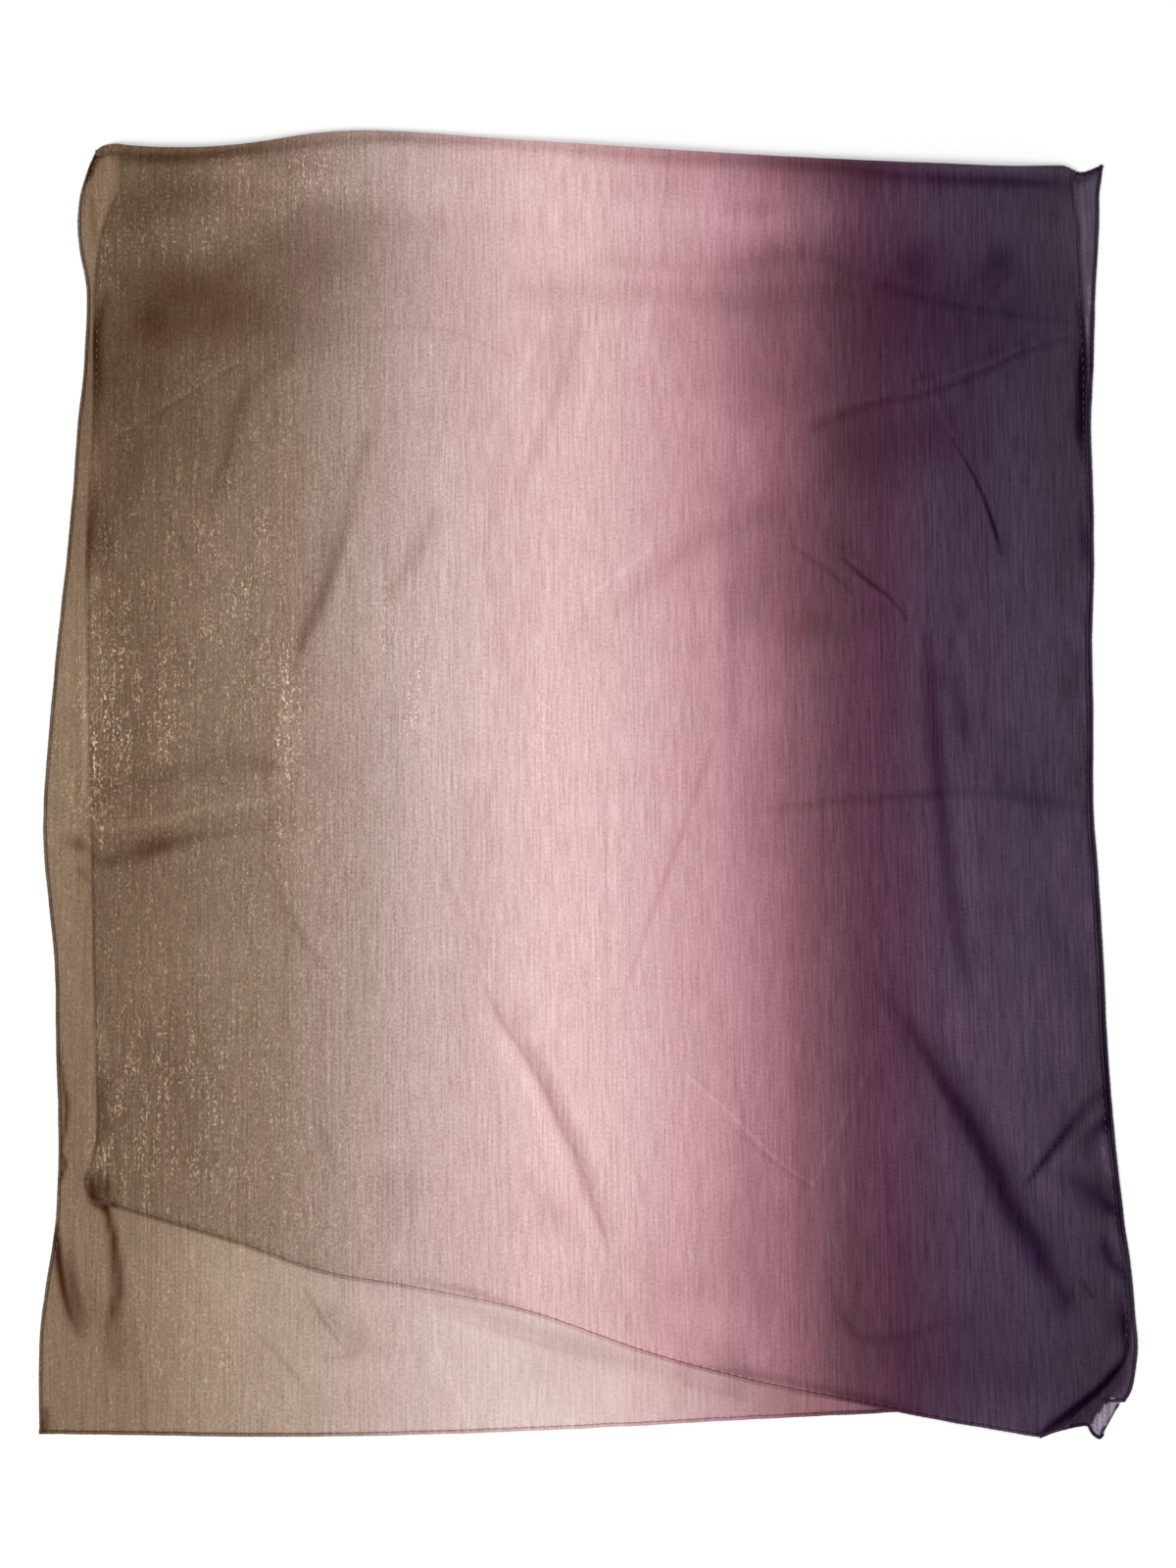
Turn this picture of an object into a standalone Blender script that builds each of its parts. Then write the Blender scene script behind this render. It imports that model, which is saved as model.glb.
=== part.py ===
"""A long light scarf of sheer cloth, folded once across its length and laid flat.

The cloth lies in two layers. The lower layer rests on the surface, the fold is
a soft bend along the top (+Y), and the upper layer comes back over the lower
one and ends in a slanting hem, short of the lower layer's end. Both long sides
and both short ends have narrow rolled hems. The near right corner of the upper
layer is turned under and peeps out beyond its edge.

X is across the cloth, +Y runs to the fold, Z is up. The underside lies at z = 0.
Tables are in millimetres, and the solids in metres.
"""

import math

import bpy
import numpy as np
from mathutils import Vector
from mathutils.geometry import delaunay_2d_cdt

MM = 0.001

# ---------------------------------------------------------------- sizes, in mm
WALL = 1.2  # the cloth as a wall
GAP = 0.3  # between a piece and its neighbour
HEM_WIDTH = 2.6  # rolled hems, all round
HEM_THICK = 1.7  # the upper layer's hems, and WALL on the lower layer
LAYER = WALL + GAP  # underside of the upper layer where the layers lie flat
ROLL_FADE = 62.0  # how far the puffed fold takes to come down on to the lower layer
OUTLINE_STEP = 26.0  # spacing of points round a panel
UPPER_MESH = 36.0  # spacing of points inside a panel
LOWER_MESH = 52.0
CREASE_STEP = 19.0  # spacing of points along a crease
SHORTEST_EDGE = 4.5  # points nearer than this to another are left out
BEND_STEP = 21.0  # spacing of sections along the fold
BEND_POINTS = 6  # points round the outside of the bend

# The fold: its furthest line, how high it stands, and how wide the bend is.
#        x     y    crown  depth
FOLD_LINE = [
    (-341, 440, 3.6, 7.0),
    (-326, 445, 7.5, 12.0),
    (-282, 444, 9.0, 13.0),
    (-230, 445, 9.0, 13.5),
    (-184, 451, 6.5, 11.0),
    (-136, 453, 5.0, 9.0),
    (-54, 447, 7.5, 12.0),
    (-7, 444, 8.5, 14.0),
    (54, 440, 9.5, 16.0),
    (132, 435, 8.5, 14.0),
    (204, 433, 9.0, 15.0),
    (270, 431, 9.5, 17.0),
    (330, 428, 7.5, 14.0),
    (359, 429, 3.6, 7.0),
]

# Both layers' long edges, from the fold to the near end: the lower layer's left
# edge, the upper layer's left and right edges, the lower layer's right edge.
#      y    lower  upper  upper  lower
#           left   left   right  right
SIDES = [
    (431, -343, -323, 336, 357),
    (408, -351, -324, 336, 354),
    (380, -353, -332, 339, 353),
    (339, -346, -340, 341, 350),
    (290, -347, -340.5, 343.5, 348),
    (245, -351, -341, 343, 345.6),
    (200, -353.5, -343, 343.6, 346.4),
    (150, -357.5, -344, 343.5, 346.2),
    (96, -362.5, -342.5, 341.4, 344.2),
    (45, -366.5, -340.5, 341.4, 344.2),
    (-15, -370, -338.5, 340.6, 343.4),
    (-55, -368.5, -337, 342.6, 345.6),
    (-120, -361, -335, 345.6, 348.6),
    (-176, -359, -333, 347.4, 350.4),
    (-231, -356.5, -331, 351, 354),
]
# Below that, each edge goes its own way down to its corner.
#               x      y
LOWER_LEFT_END = [(-356.5, -270), (-358, -300), (-364, -342), (-367, -378), (-366, -434)]
UPPER_LEFT_END = [(-337, -262), (-335, -279)]
UPPER_RIGHT_END = [
    (356.5, -290), (360.5, -325), (363, -358), (360, -381), (349, -401), (329, -417), (300, -436),
]
LOWER_RIGHT_END = [(359.5, -290), (364, -325), (366.5, -360), (367.5, -380), (363, -403), (357, -412.6)]
# The two short ends, from left to right.
#             x     y
UPPER_END = [
    (-335, -279), (-290, -293), (-233, -310), (-176, -329), (-118, -339), (-40, -355),
    (36, -381), (105, -399), (172, -411), (235, -423), (300, -436),
]
LOWER_END = [
    (-366, -434), (-196, -436), (-78, -433.5), (26, -429), (92, -424), (200, -418), (300, -414), (357, -412.6),
]

# Creases and soft folds. Each runs from (x0, y0) to (x1, y1); bow is how far its
# middle lies to the left of that line, half is half its width, rise its height.
#    name            x0    y0    x1    y1   bow  half  rise
UPPER_FOLDS = [
    ("right_big", 210, -136, 326, -338, -4, 14, 4.9),
    ("right_branch", 294, -272, 345, -215, 2, 8, 2.6),
    ("middle_long", -70, -140, 18, -322, 8, 12, 1.6),
    ("left_band", -152, 250, -198, 86, 5, 11, 2.0),
    ("left_soft", -205, 300, -255, 184, -12, 13, 2.3),
    ("left_edge", -320, 280, -339, 140, -3, 11, 2.0),
    ("cross_left", -336, -49, -200, -17, -5, 13, 2.3),
    ("cross_right", 122, -17, 338, -17, 5, 10, 1.6),
    ("top_right_arc", 198, 370, 322, 313, -12, 10, 2.0),
    ("top_right_line", 178, 250, 330, 308, 3, 8, 2.0),
    ("right_thin", 226, 290, 284, 163, 3, 7, 2.0),
    ("right_thin_low", 176, 154, 222, 108, 2, 7, 2.0),
    ("right_upright", 232, 98, 258, -138, -9, 12, 2.0),
    ("middle_short", -100, 192, -137, 130, 0, 9, 1.6),
    ("middle_top", -10, 305, -52, 190, 3, 10, 1.6),
    ("middle_slant", 96, 72, 28, -110, 2, 10, 1.6),
    ("corner_curl", 352, -345, 292, -424, 15, 13, 3.9),
]
LOWER_FOLDS = [
    ("tuck_inner", -322, -299, -311, -388, -3, 8, 4.5),
    ("tuck_outer", -351, -303, -339, -368, -2, 7, 3.5),
]

# The corner of the upper layer that is turned under: what shows of it.
#                 x      y
TURNED_CORNER = [
    (318, -431), (324, -422), (334, -414), (355, -414), (349, -424), (341, -437), (335, -434), (332, -428),
]

# --------------------------------------------------------------- colours
TAUPE = (0.26, 0.18, 0.12)
ROSE = (0.66, 0.44, 0.44)
PLUM = (0.09, 0.06, 0.10)
LILAC = (0.38, 0.32, 0.37)


# --------------------------------------------------------------- curves
def smooth_line(points, step):
    """Points about step apart on a smooth curve through these, which it passes."""
    p = np.array(points, float)
    p = np.vstack([2 * p[0] - p[1], p, 2 * p[-1] - p[-2]])
    out = []
    for i in range(1, len(p) - 2):
        a, b, c, d = p[i - 1 : i + 3]
        count = max(1, round(np.linalg.norm((c - b)[:2]) / step))
        for k in range(count):
            t = k / count
            out.append(
                0.5
                * (
                    2 * b
                    + (c - a) * t
                    + (2 * a - 5 * b + 4 * c - d) * t**2
                    + (3 * b - a - 3 * c + d) * t**3
                )
            )
    out.append(p[-2])
    return np.array(out)


def moved_in(line, distance):
    """An open line moved sideways to its left, with mitred corners."""
    ahead = np.diff(line, axis=0)
    ahead /= np.linalg.norm(ahead, axis=1)[:, None]
    left = np.column_stack([-ahead[:, 1], ahead[:, 0]])
    first, last = left[:1], left[-1:]
    before, after = np.vstack([first, left]), np.vstack([left, last])
    mean = before + after
    mean /= np.linalg.norm(mean, axis=1)[:, None]
    return line + mean * (distance / np.maximum((mean * after).sum(axis=1), 0.5))[:, None]


def crossing(a, b):
    """Where two open lines cross: (index in a, index in b, point)."""
    for i in range(len(a) - 1):
        for j in range(len(b) - 1):
            r, s, q = a[i + 1] - a[i], b[j + 1] - b[j], b[j] - a[i]
            turn = r[0] * s[1] - r[1] * s[0]
            if abs(turn) < 1e-9:
                continue
            t = (q[0] * s[1] - q[1] * s[0]) / turn
            u = (q[0] * r[1] - q[1] * r[0]) / turn
            if 0 <= t <= 1 and 0 <= u <= 1:
                return i, j, a[i] + t * r
    raise ValueError("these lines don't cross")


def column(table, x, index):
    return np.interp(x, [row[0] for row in table], [row[index] for row in table])


FOLD_POINTS = smooth_line([row[:2] for row in FOLD_LINE], 12)


def fold_y(x):
    return np.interp(x, FOLD_POINTS[:, 0], FOLD_POINTS[:, 1])


def crown(x):
    return column(FOLD_LINE, x, 2)


LEFT_TIP, RIGHT_TIP = FOLD_LINE[0][0], FOLD_LINE[-1][0]
BEND_XS = np.linspace(LEFT_TIP, RIGHT_TIP, round((RIGHT_TIP - LEFT_TIP) / BEND_STEP) + 1)
BEND_SEAM = fold_y(BEND_XS) - column(FOLD_LINE, BEND_XS, 3)


def seam_y(x):
    """Where the bend ends and a layer starts."""
    return np.interp(x, BEND_XS, BEND_SEAM)


def side(index, end):
    """A long edge, from the fold to its corner."""
    return [(row[index], row[0]) for row in SIDES] + list(end)


# Each outline goes round its layer with the cloth on its left: down the left
# side, along the near end, up the right side.
LOWER_LEFT = smooth_line(side(1, LOWER_LEFT_END), OUTLINE_STEP)
UPPER_LEFT = smooth_line(side(2, UPPER_LEFT_END), OUTLINE_STEP)
UPPER_RIGHT = smooth_line(side(3, UPPER_RIGHT_END)[::-1], OUTLINE_STEP)
LOWER_RIGHT = smooth_line(side(4, LOWER_RIGHT_END)[::-1], OUTLINE_STEP)
UPPER_FRONT = smooth_line(UPPER_END, OUTLINE_STEP)
LOWER_FRONT = smooth_line(LOWER_END, OUTLINE_STEP * 1.4)

# The model's origin is under the middle of its box.
EVERY_EDGE = np.vstack(
    [LOWER_LEFT, UPPER_RIGHT, LOWER_RIGHT, UPPER_FRONT, LOWER_FRONT, FOLD_POINTS, np.array(TURNED_CORNER, float)]
)
MIDDLE = (EVERY_EDGE.min(axis=0) + EVERY_EDGE.max(axis=0)) / 2


def below_bend(line, clearance):
    """The part of a line that lies short of the bend, clear of it by this much."""
    clear = np.array([seam_y(x) - y for x, y in line]) - clearance
    keep = clear >= 0
    out = [p for p, k in zip(line, keep) if k]
    for i in range(len(line) - 1):
        if keep[i] != keep[i + 1]:
            t = clear[i] / (clear[i] - clear[i + 1])
            cut = line[i] + t * (line[i + 1] - line[i])
            out.insert(0 if keep[i + 1] else len(out), cut)
    return np.array(out)


# --------------------------------------------------------------- heights
def rise_of(folds, x, y):
    """Height of the creases at (x, y)."""
    total = np.zeros(np.shape(x))
    for _, x0, y0, x1, y1, bow, half, rise in folds:
        length = math.hypot(x1 - x0, y1 - y0)
        dx, dy = (x1 - x0) / length, (y1 - y0) / length
        along = ((x - x0) * dx + (y - y0) * dy) / length
        across = -(x - x0) * dy + (y - y0) * dx - 4 * bow * along * (1 - along)
        flat = np.clip(1 - (across / half) ** 2, 0, 1) ** 2
        ends = np.clip(np.minimum(along, 1 - along) / 0.3, 0, 1)
        total = total + rise * flat * ends**2 * (3 - 2 * ends)
    return total


def upper_under(x, y):
    """Underside of the upper layer: up on the puffed fold, down on the lower layer."""
    away = np.maximum(seam_y(x) - y, 0)
    roll = (crown(x) - WALL - LAYER) * np.exp(-((away / ROLL_FADE) ** 2))
    return LAYER + np.maximum(roll, 0) + rise_of(UPPER_FOLDS, x, y)


def lower_under(x, y):
    return rise_of(LOWER_FOLDS, x, y)


def thick_at(under, x, y, wall):
    """The wall measured upwards, which grows with the slope."""
    e = 0.5
    sx = (under(x + e, y) - under(x - e, y)) / (2 * e)
    sy = (under(x, y + e) - under(x, y - e)) / (2 * e)
    return wall * np.sqrt(1 + sx**2 + sy**2)


# --------------------------------------------------------------- solids
def finish(name, verts, faces, colour, roughness=0.55):
    mesh = bpy.data.meshes.new(name)
    points = [
        ((x - MIDDLE[0]) * MM, (y - MIDDLE[1]) * MM, z * MM) for x, y, z in verts
    ]
    mesh.from_pydata(points, [], faces)
    mesh.validate()
    mesh.shade_smooth()
    mesh.set_sharp_from_angle(angle=math.radians(50))
    obj = bpy.data.objects.new(name, mesh)
    bpy.context.scene.collection.objects.link(obj)
    material = bpy.data.materials.new(name)
    material.use_nodes = True
    shader = material.node_tree.nodes["Principled BSDF"]
    shader.inputs["Base Color"].default_value = (*colour, 1)
    shader.inputs["Roughness"].default_value = roughness
    mesh.materials.append(material)
    return obj


def inside(points, loop):
    """Which points lie inside this closed loop."""
    x, y = points[:, 0], points[:, 1]
    found = np.zeros(len(points), bool)
    for (x0, y0), (x1, y1) in zip(loop, np.roll(loop, -1, axis=0)):
        spans = (y0 > y) != (y1 > y)
        at = x0 + (y - y0) * (x1 - x0) / np.where(y1 == y0, 1e-9, y1 - y0)
        found ^= spans & (x < at)
    return found


def far_from(points, others, distance):
    keep = np.ones(len(points), bool)
    for i, p in enumerate(points):
        keep[i] = np.hypot(*(others - p).T).min() >= distance
    return keep


def crease_points(folds):
    """Rows of points along each crease, on its crest and down both its sides."""
    out = []
    for _, x0, y0, x1, y1, bow, half, rise in folds:
        length = math.hypot(x1 - x0, y1 - y0)
        dx, dy = (x1 - x0) / length, (y1 - y0) / length
        rows = (0, 1, -1, 0.5, -0.5) if rise > 2.6 else (0, 0.9, -0.9)
        count = max(3, round(length / CREASE_STEP))
        for row in rows:
            for k in range(count + 1):
                t = k / count
                s = row * half + 4 * bow * t * (1 - t)
                out.append((x0 + t * length * dx - s * dy, y0 + t * length * dy + s * dx))
    return np.array(out)


def panel(name, loop, folds, spacing, under, colour):
    """A layer of cloth: a wall of even thickness over the plan inside loop."""
    low, high = loop.min(axis=0), loop.max(axis=0)
    kept = loop.copy()
    chosen = []
    rows = round((high[1] - low[1]) / (spacing * 0.87))
    columns = round((high[0] - low[0]) / spacing)
    even = [
        (low[0] + (i + 0.5 * (j % 2)) * (high[0] - low[0]) / columns, low[1] + j * (high[1] - low[1]) / rows)
        for j in range(rows + 1)
        for i in range(columns + 1)
    ]
    for group, clear in ((crease_points(folds), SHORTEST_EDGE), (np.array(even), spacing * 0.45)):
        group = group[inside(group, loop)]
        for p in group:
            if np.hypot(*(kept - p).T).min() >= clear:
                kept = np.vstack([kept, p])
                chosen.append(p)
    count = len(loop)
    points, _, faces, *_ = delaunay_2d_cdt(
        [Vector(p) for p in kept], [], [list(range(count))], 1, 1e-4
    )
    plan = np.array([tuple(p) for p in points])
    triangles = np.array([tuple(f) for f in faces])
    a, b, c = (plan[triangles[:, k]] for k in range(3))
    turn = (b - a)[:, 0] * (c - a)[:, 1] - (b - a)[:, 1] * (c - a)[:, 0]
    triangles[turn < 0] = triangles[turn < 0][:, ::-1]
    triangles = triangles[abs(turn) > 1e-3]
    x, y = plan.T
    bottom = under(x, y)
    top = bottom + thick_at(under, x, y, WALL)
    n = len(plan)
    verts = np.vstack([np.column_stack([x, y, top]), np.column_stack([x, y, bottom])])
    ends = {}
    for t in triangles:
        for k in range(3):
            ends[(int(t[k]), int(t[(k + 1) % 3]))] = True
    rim = [e for e in ends if (e[1], e[0]) not in ends]
    out = [tuple(map(int, t)) for t in triangles]
    out += [tuple(int(v) + n for v in t[::-1]) for t in triangles]
    out += [(j, i, i + n, j + n) for i, j in rim]
    return finish(name, verts, out, colour)


def hem(name, line, under, thick, colour, start=0.0, stop=0.0):
    """A rolled hem: a six-sided bead along an edge, inside it by half its width."""
    middle = moved_in(line, HEM_WIDTH / 2)
    middle = below_bend(trimmed(middle, start, stop), 3 * GAP)
    ahead = np.gradient(middle, axis=0)
    ahead /= np.linalg.norm(ahead, axis=1)[:, None]
    left = np.column_stack([-ahead[:, 1], ahead[:, 0]])
    #          across, up
    section = [(-1, 0.3), (-0.55, 0), (0.55, 0), (1, 0.3), (0.6, 1), (-0.6, 1)]
    verts = []
    for p, n in zip(middle, left):
        floor = under(p[0], p[1])
        for across, up in section:
            at = p + n * (across * HEM_WIDTH / 2)
            verts.append((at[0], at[1], floor + up * thick))
    k = len(section)
    faces = []
    for i in range(len(middle) - 1):
        for j in range(k):
            faces.append((i * k + j, i * k + (j + 1) % k, (i + 1) * k + (j + 1) % k, (i + 1) * k + j))
    faces.append(tuple(reversed(range(k))))
    faces.append(tuple((len(middle) - 1) * k + j for j in range(k)))
    return finish(name, verts, faces, colour)


def trimmed(line, start, stop):
    """The line without its first start and its last stop millimetres."""
    for amount in (start, stop):
        steps = np.linalg.norm(np.diff(line, axis=0), axis=1)
        reach = np.concatenate([[0], np.cumsum(steps)])
        if amount > 0:
            i = int(np.searchsorted(reach, amount, side="right")) - 1
            t = (amount - reach[i]) / steps[i]
            first = line[i] + t * (line[i + 1] - line[i])
            line = np.vstack([first, line[i + 1 :]])
        line = line[::-1]
    return line


def fold_bend():
    """The bend: the cloth comes up from the lower layer and turns back over it."""
    xs = BEND_XS
    verts = []
    for x in xs:
        far, seam, high = float(fold_y(x)), float(seam_y(x)), float(crown(x))
        reach = min(far - seam - 1.5, high * 0.95)
        outer = [(seam, 0.0)]
        inner = [(seam, WALL)]
        for k in range(BEND_POINTS + 1):
            turn = math.pi * (k / BEND_POINTS - 0.5)
            outer.append((far - reach + reach * math.cos(turn), high / 2 + high / 2 * math.sin(turn)))
            inner.append(
                (
                    far - reach + (reach - WALL) * math.cos(turn),
                    high / 2 + (high / 2 - WALL) * math.sin(turn),
                )
            )
        outer.append((seam, high))
        inner.append((seam, high - WALL))
        verts += [(x, y, z) for y, z in outer + inner[::-1]]
    k = 2 * (BEND_POINTS + 3)
    faces = []
    for i in range(len(xs) - 1):
        for j in range(k):
            faces.append((i * k + j, i * k + (j + 1) % k, (i + 1) * k + (j + 1) % k, (i + 1) * k + j))
    half = k // 2
    for i, flip in ((0, True), (len(xs) - 1, False)):
        for j in range(half - 1):
            face = (i * k + j, i * k + j + 1, i * k + k - 2 - j, i * k + k - 1 - j)
            faces.append(face[::-1] if flip else face)
    return finish("fold_bend", verts, faces, ROSE)


def flap(name, loop, thick, colour):
    """A small flat piece of cloth on the surface."""
    loop = np.array(loop, float)
    if sum(x0 * y1 - x1 * y0 for (x0, y0), (x1, y1) in zip(loop, np.roll(loop, -1, axis=0))) < 0:
        loop = loop[::-1]
    n = len(loop)
    verts = [(x, y, thick) for x, y in loop] + [(x, y, 0.0) for x, y in loop]
    faces = [tuple(range(n)), tuple(reversed(range(n, 2 * n)))]
    faces += [(i, i + n, (i + 1) % n + n, (i + 1) % n) for i in range(n)]
    return finish(name, verts, faces, colour)


def panel_loop(left, front, right):
    """The plan of a layer inside its hems, closed along the bend."""
    inset = HEM_WIDTH + GAP
    a, b, c = (moved_in(line, inset) for line in (left, front, right))
    i, j, first = crossing(a, b)
    a, b = a[: i + 1], b[j + 1 :]
    i, j, second = crossing(np.vstack([first, b]), c)
    b, c = b[:i], c[j + 1 :]
    loop = np.vstack([a, first, b, second, c])
    loop = below_bend(loop, 1.4 * GAP)
    first, last = loop[-1, 0], loop[0, 0]
    x = np.array([v for v in BEND_XS[::-1] if last + 3 < v < first - 3])
    top = np.column_stack([x, seam_y(x) - 1.4 * GAP])
    loop = np.vstack([loop, top])
    steps = np.linalg.norm(loop - np.roll(loop, 1, axis=0), axis=1)
    return loop[steps > 1.2]


def main():
    for obj in list(bpy.data.objects):
        bpy.data.objects.remove(obj, do_unlink=True)

    panel("lower_layer", panel_loop(LOWER_LEFT, LOWER_FRONT, LOWER_RIGHT), LOWER_FOLDS, LOWER_MESH, lower_under, ROSE)
    panel("upper_layer", panel_loop(UPPER_LEFT, UPPER_FRONT, UPPER_RIGHT), UPPER_FOLDS, UPPER_MESH, upper_under, ROSE)
    fold_bend()

    for name, line, under, thick, colour, start, stop in (
        ("hem_lower_left", LOWER_LEFT, lower_under, WALL, TAUPE, 0.0, 0.0),
        ("hem_lower_right", LOWER_RIGHT, lower_under, WALL, PLUM, 0.0, 0.0),
        ("hem_lower_end", LOWER_FRONT, lower_under, WALL, ROSE, HEM_WIDTH + GAP + 0.4, HEM_WIDTH + GAP + 1.6),
        ("hem_upper_left", UPPER_LEFT, upper_under, HEM_THICK, TAUPE, 0.0, 0.0),
        ("hem_upper_right", UPPER_RIGHT, upper_under, HEM_THICK, PLUM, 0.0, 0.0),
        ("hem_upper_end", UPPER_FRONT, upper_under, HEM_THICK, ROSE, HEM_WIDTH + GAP + 0.4, HEM_WIDTH + GAP + 3.0),
    ):
        hem(name, line, under, thick, colour, start, stop)

    flap("turned_corner", TURNED_CORNER, WALL, LILAC)


main()
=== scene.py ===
"""A long sheer shimmering scarf, folded once across its length and laid flat.

The looks of the scarf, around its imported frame. Tables are in the scarf's own
millimetres: X across the cloth, +Y towards the fold, Z up from the surface.
"""

import math

import bpy
import numpy as np
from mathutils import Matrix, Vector, noise
from mathutils.geometry import delaunay_2d_cdt


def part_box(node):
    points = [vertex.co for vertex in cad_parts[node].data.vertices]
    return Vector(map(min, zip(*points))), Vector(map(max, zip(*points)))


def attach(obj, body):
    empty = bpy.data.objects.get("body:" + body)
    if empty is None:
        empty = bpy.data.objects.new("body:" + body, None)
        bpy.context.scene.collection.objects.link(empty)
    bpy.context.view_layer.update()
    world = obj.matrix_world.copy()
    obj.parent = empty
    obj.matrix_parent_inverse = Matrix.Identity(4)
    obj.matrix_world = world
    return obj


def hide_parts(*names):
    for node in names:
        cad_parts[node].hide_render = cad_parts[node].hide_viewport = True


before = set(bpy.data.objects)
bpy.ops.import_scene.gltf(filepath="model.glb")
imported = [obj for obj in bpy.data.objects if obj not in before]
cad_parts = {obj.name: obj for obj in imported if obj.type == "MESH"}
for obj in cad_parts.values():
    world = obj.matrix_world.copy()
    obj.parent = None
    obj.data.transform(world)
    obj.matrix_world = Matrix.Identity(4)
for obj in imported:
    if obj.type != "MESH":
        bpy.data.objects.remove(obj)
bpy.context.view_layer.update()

MM = 0.001
# The tables' middle, from two solids that the tables place.
MIDDLE_X = -341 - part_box("fold_bend")[0].x / MM
MIDDLE_Y = -437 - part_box("turned_corner")[0].y / MM

THICK = 0.34  # the cloth
LOWER_Z = 0.42  # the middle of the lower layer's cloth where it lies flat
UPPER_RISE = 0.55  # the middle of the upper layer's cloth above its solid's underside
BASE = 5.6  # spacing of the cloth's points where it is smooth, halved twice at creases
HIDDEN_BASE = 8.4  # the same under the upper layer
WIDTH, HALF_LENGTH = 0.70, 0.875  # the cut, in metres: one width, and one of the two halves

# ------------------------------------------------------------- the scarf's form
# The fold: its furthest line, how high it stands, and how wide the bend is.
#        x     y    crown  depth
FOLD_LINE = [
    (-341, 437.5, 2.0, 3.4), (-339.6, 440.6, 2.4, 5.4), (-334, 442.8, 3.8, 8.0), (-326, 443.4, 5.6, 10.0), (-316, 441.8, 7.5, 11.0), (-292, 440.2, 9.0, 12.0),
    (-262, 440.6, 9.0, 12.5), (-230, 443.6, 9.0, 13.0), (-184, 451, 6.5, 11.0), (-136, 452.4, 5.0, 9.0), (-54, 446, 7.5, 12.0),
    (-7, 443, 8.5, 14.0), (54, 438.6, 9.5, 16.0), (132, 434, 8.5, 14.0), (204, 430.4, 9.0, 15.0), (248, 428.6, 9.5, 16.5),
    (286, 427, 9.5, 16.0), (318, 427.6, 7.0, 13.0), (329, 428, 4.8, 10.0), (335, 425.8, 3.2, 7.5), (338, 424.4, 2.0, 5.0),
]
# The four long edges from the fold to the near end, and the two short ends.
UPPER_LEFT = [
    (-322.5, 426), (-323, 416), (-325.5, 408), (-330.5, 399), (-334.5, 388), (-337.5, 376), (-341, 345), (-341, 290),
    (-341, 245), (-343, 200),
    (-344, 150), (-342.5, 96), (-340.5, 45), (-338.5, -15), (-337, -55), (-335, -120), (-333, -176), (-331, -231),
    (-334, -252), (-338.5, -266), (-336, -277), (-328, -281.5),
]
UPPER_RIGHT = [
    (336, 408), (339, 380), (341, 339), (343.5, 290), (343, 245), (343.6, 200), (343.5, 150), (341.4, 96),
    (341.4, 45), (340.6, -15), (342.6, -55), (345.6, -120), (347.4, -176), (351, -231), (356.5, -290),
    (360.5, -325), (363, -358), (361, -381), (352.5, -397), (340.5, -410), (328, -420.5), (321, -428), (317, -430.8),
    (310, -433), (300, -436),
]
LOWER_LEFT = [
    (-341.2, 438.8), (-343.6, 433), (-346.5, 426), (-351.5, 408), (-353, 388), (-351, 368), (-346, 339), (-347, 290), (-351, 245), (-353.5, 200), (-357.5, 150),
    (-362.5, 96), (-366.5, 45), (-370, -15), (-368.5, -55), (-361, -120), (-359, -176), (-356.5, -231),
    (-356.5, -270), (-358, -300), (-364, -342), (-367, -378), (-366, -434),
]
LOWER_RIGHT = [
    (357, 429.4), (355.6, 421), (353.8, 408), (353, 380), (350, 339), (348, 290), (345.6, 245), (346.4, 200),
    (346.2, 150), (344.2, 96), (344.2, 45), (343.4, -15), (345.6, -55), (348.6, -120), (350.4, -176), (354, -231),
    (359.5, -290), (364, -325), (366.5, -360), (367.5, -380), (363.6, -403.5), (358.5, -413.2),
]
# The lower layer's far right corner, from its tip to where the fold begins.
LOWER_TIP = [(357, 429.6), (351, 426.8), (345, 424.4), (341, 423.8), (338, 424.6)]
UPPER_END = [
    (-328, -281.5), (-290, -293), (-233, -310), (-176, -329), (-118, -339), (-40, -355), (36, -381), (105, -399.6),
    (172, -412.8), (235, -425), (300, -436),
]
LOWER_END = [
    (-366, -434), (-196, -436), (-78, -433.5), (26, -429), (92, -425.5), (204, -420), (300, -415), (358.5, -413.2),
]
# The upper layer's left edge on the top of the bend, before it turns down at the tip.
OVER_LEFT = [(-322, 431.4), (-323, 434), (-325.5, 436), (-329, 437), (-333, 437), (-336.5, 435.8), (-339.5, 436)]
# Its right edge goes round the bend: how far round, from the top to the underside, and x.
BEND_RIGHT = [(0, 335), (0.5, 337.5), (1, 338)]

# How much of the painted shade in a hem's crease shows, by height on the table; below 0 the hem gets painted light and
# painted glints instead.
HEM_PAINTED_SHADE = {
    "hem_of_upper_left": [
        (440, 0.1), (345, 0.1), (325, 0.6), (300, 0.4), (200, 0.1), (140, -0.6), (-20, -0.6), (-38, 0.2), (-60, 0.7), (-120, 0.8), (-150, 0.5), (-160, 0.4),
        (-235, 0.4), (-262, 0.0), (-280, 0.2),
    ],
    "hem_of_lower_left": [
        (440, 0.7), (405, 0.9), (330, 0.9), (120, 0.9), (100, 0.3), (-60, 0.2), (-90, 0.9), (-200, 1.1), (-300, 1.1),
        (-440, 0.7),
    ],
    "hem_of_upper_right": [(440, 0.7), (300, 1.0), (250, 1.2), (150, 1.5), (60, 1.6), (-60, 1.5), (-250, 1.9), (-330, 1.4), (-440, 1.0)],
    "hem_of_upper_end": [(-285, 0.05), (-315, 0.12), (-335, 0.35), (-350, 0.7), (-365, 1.0), (-440, 1.0)],
}

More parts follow.
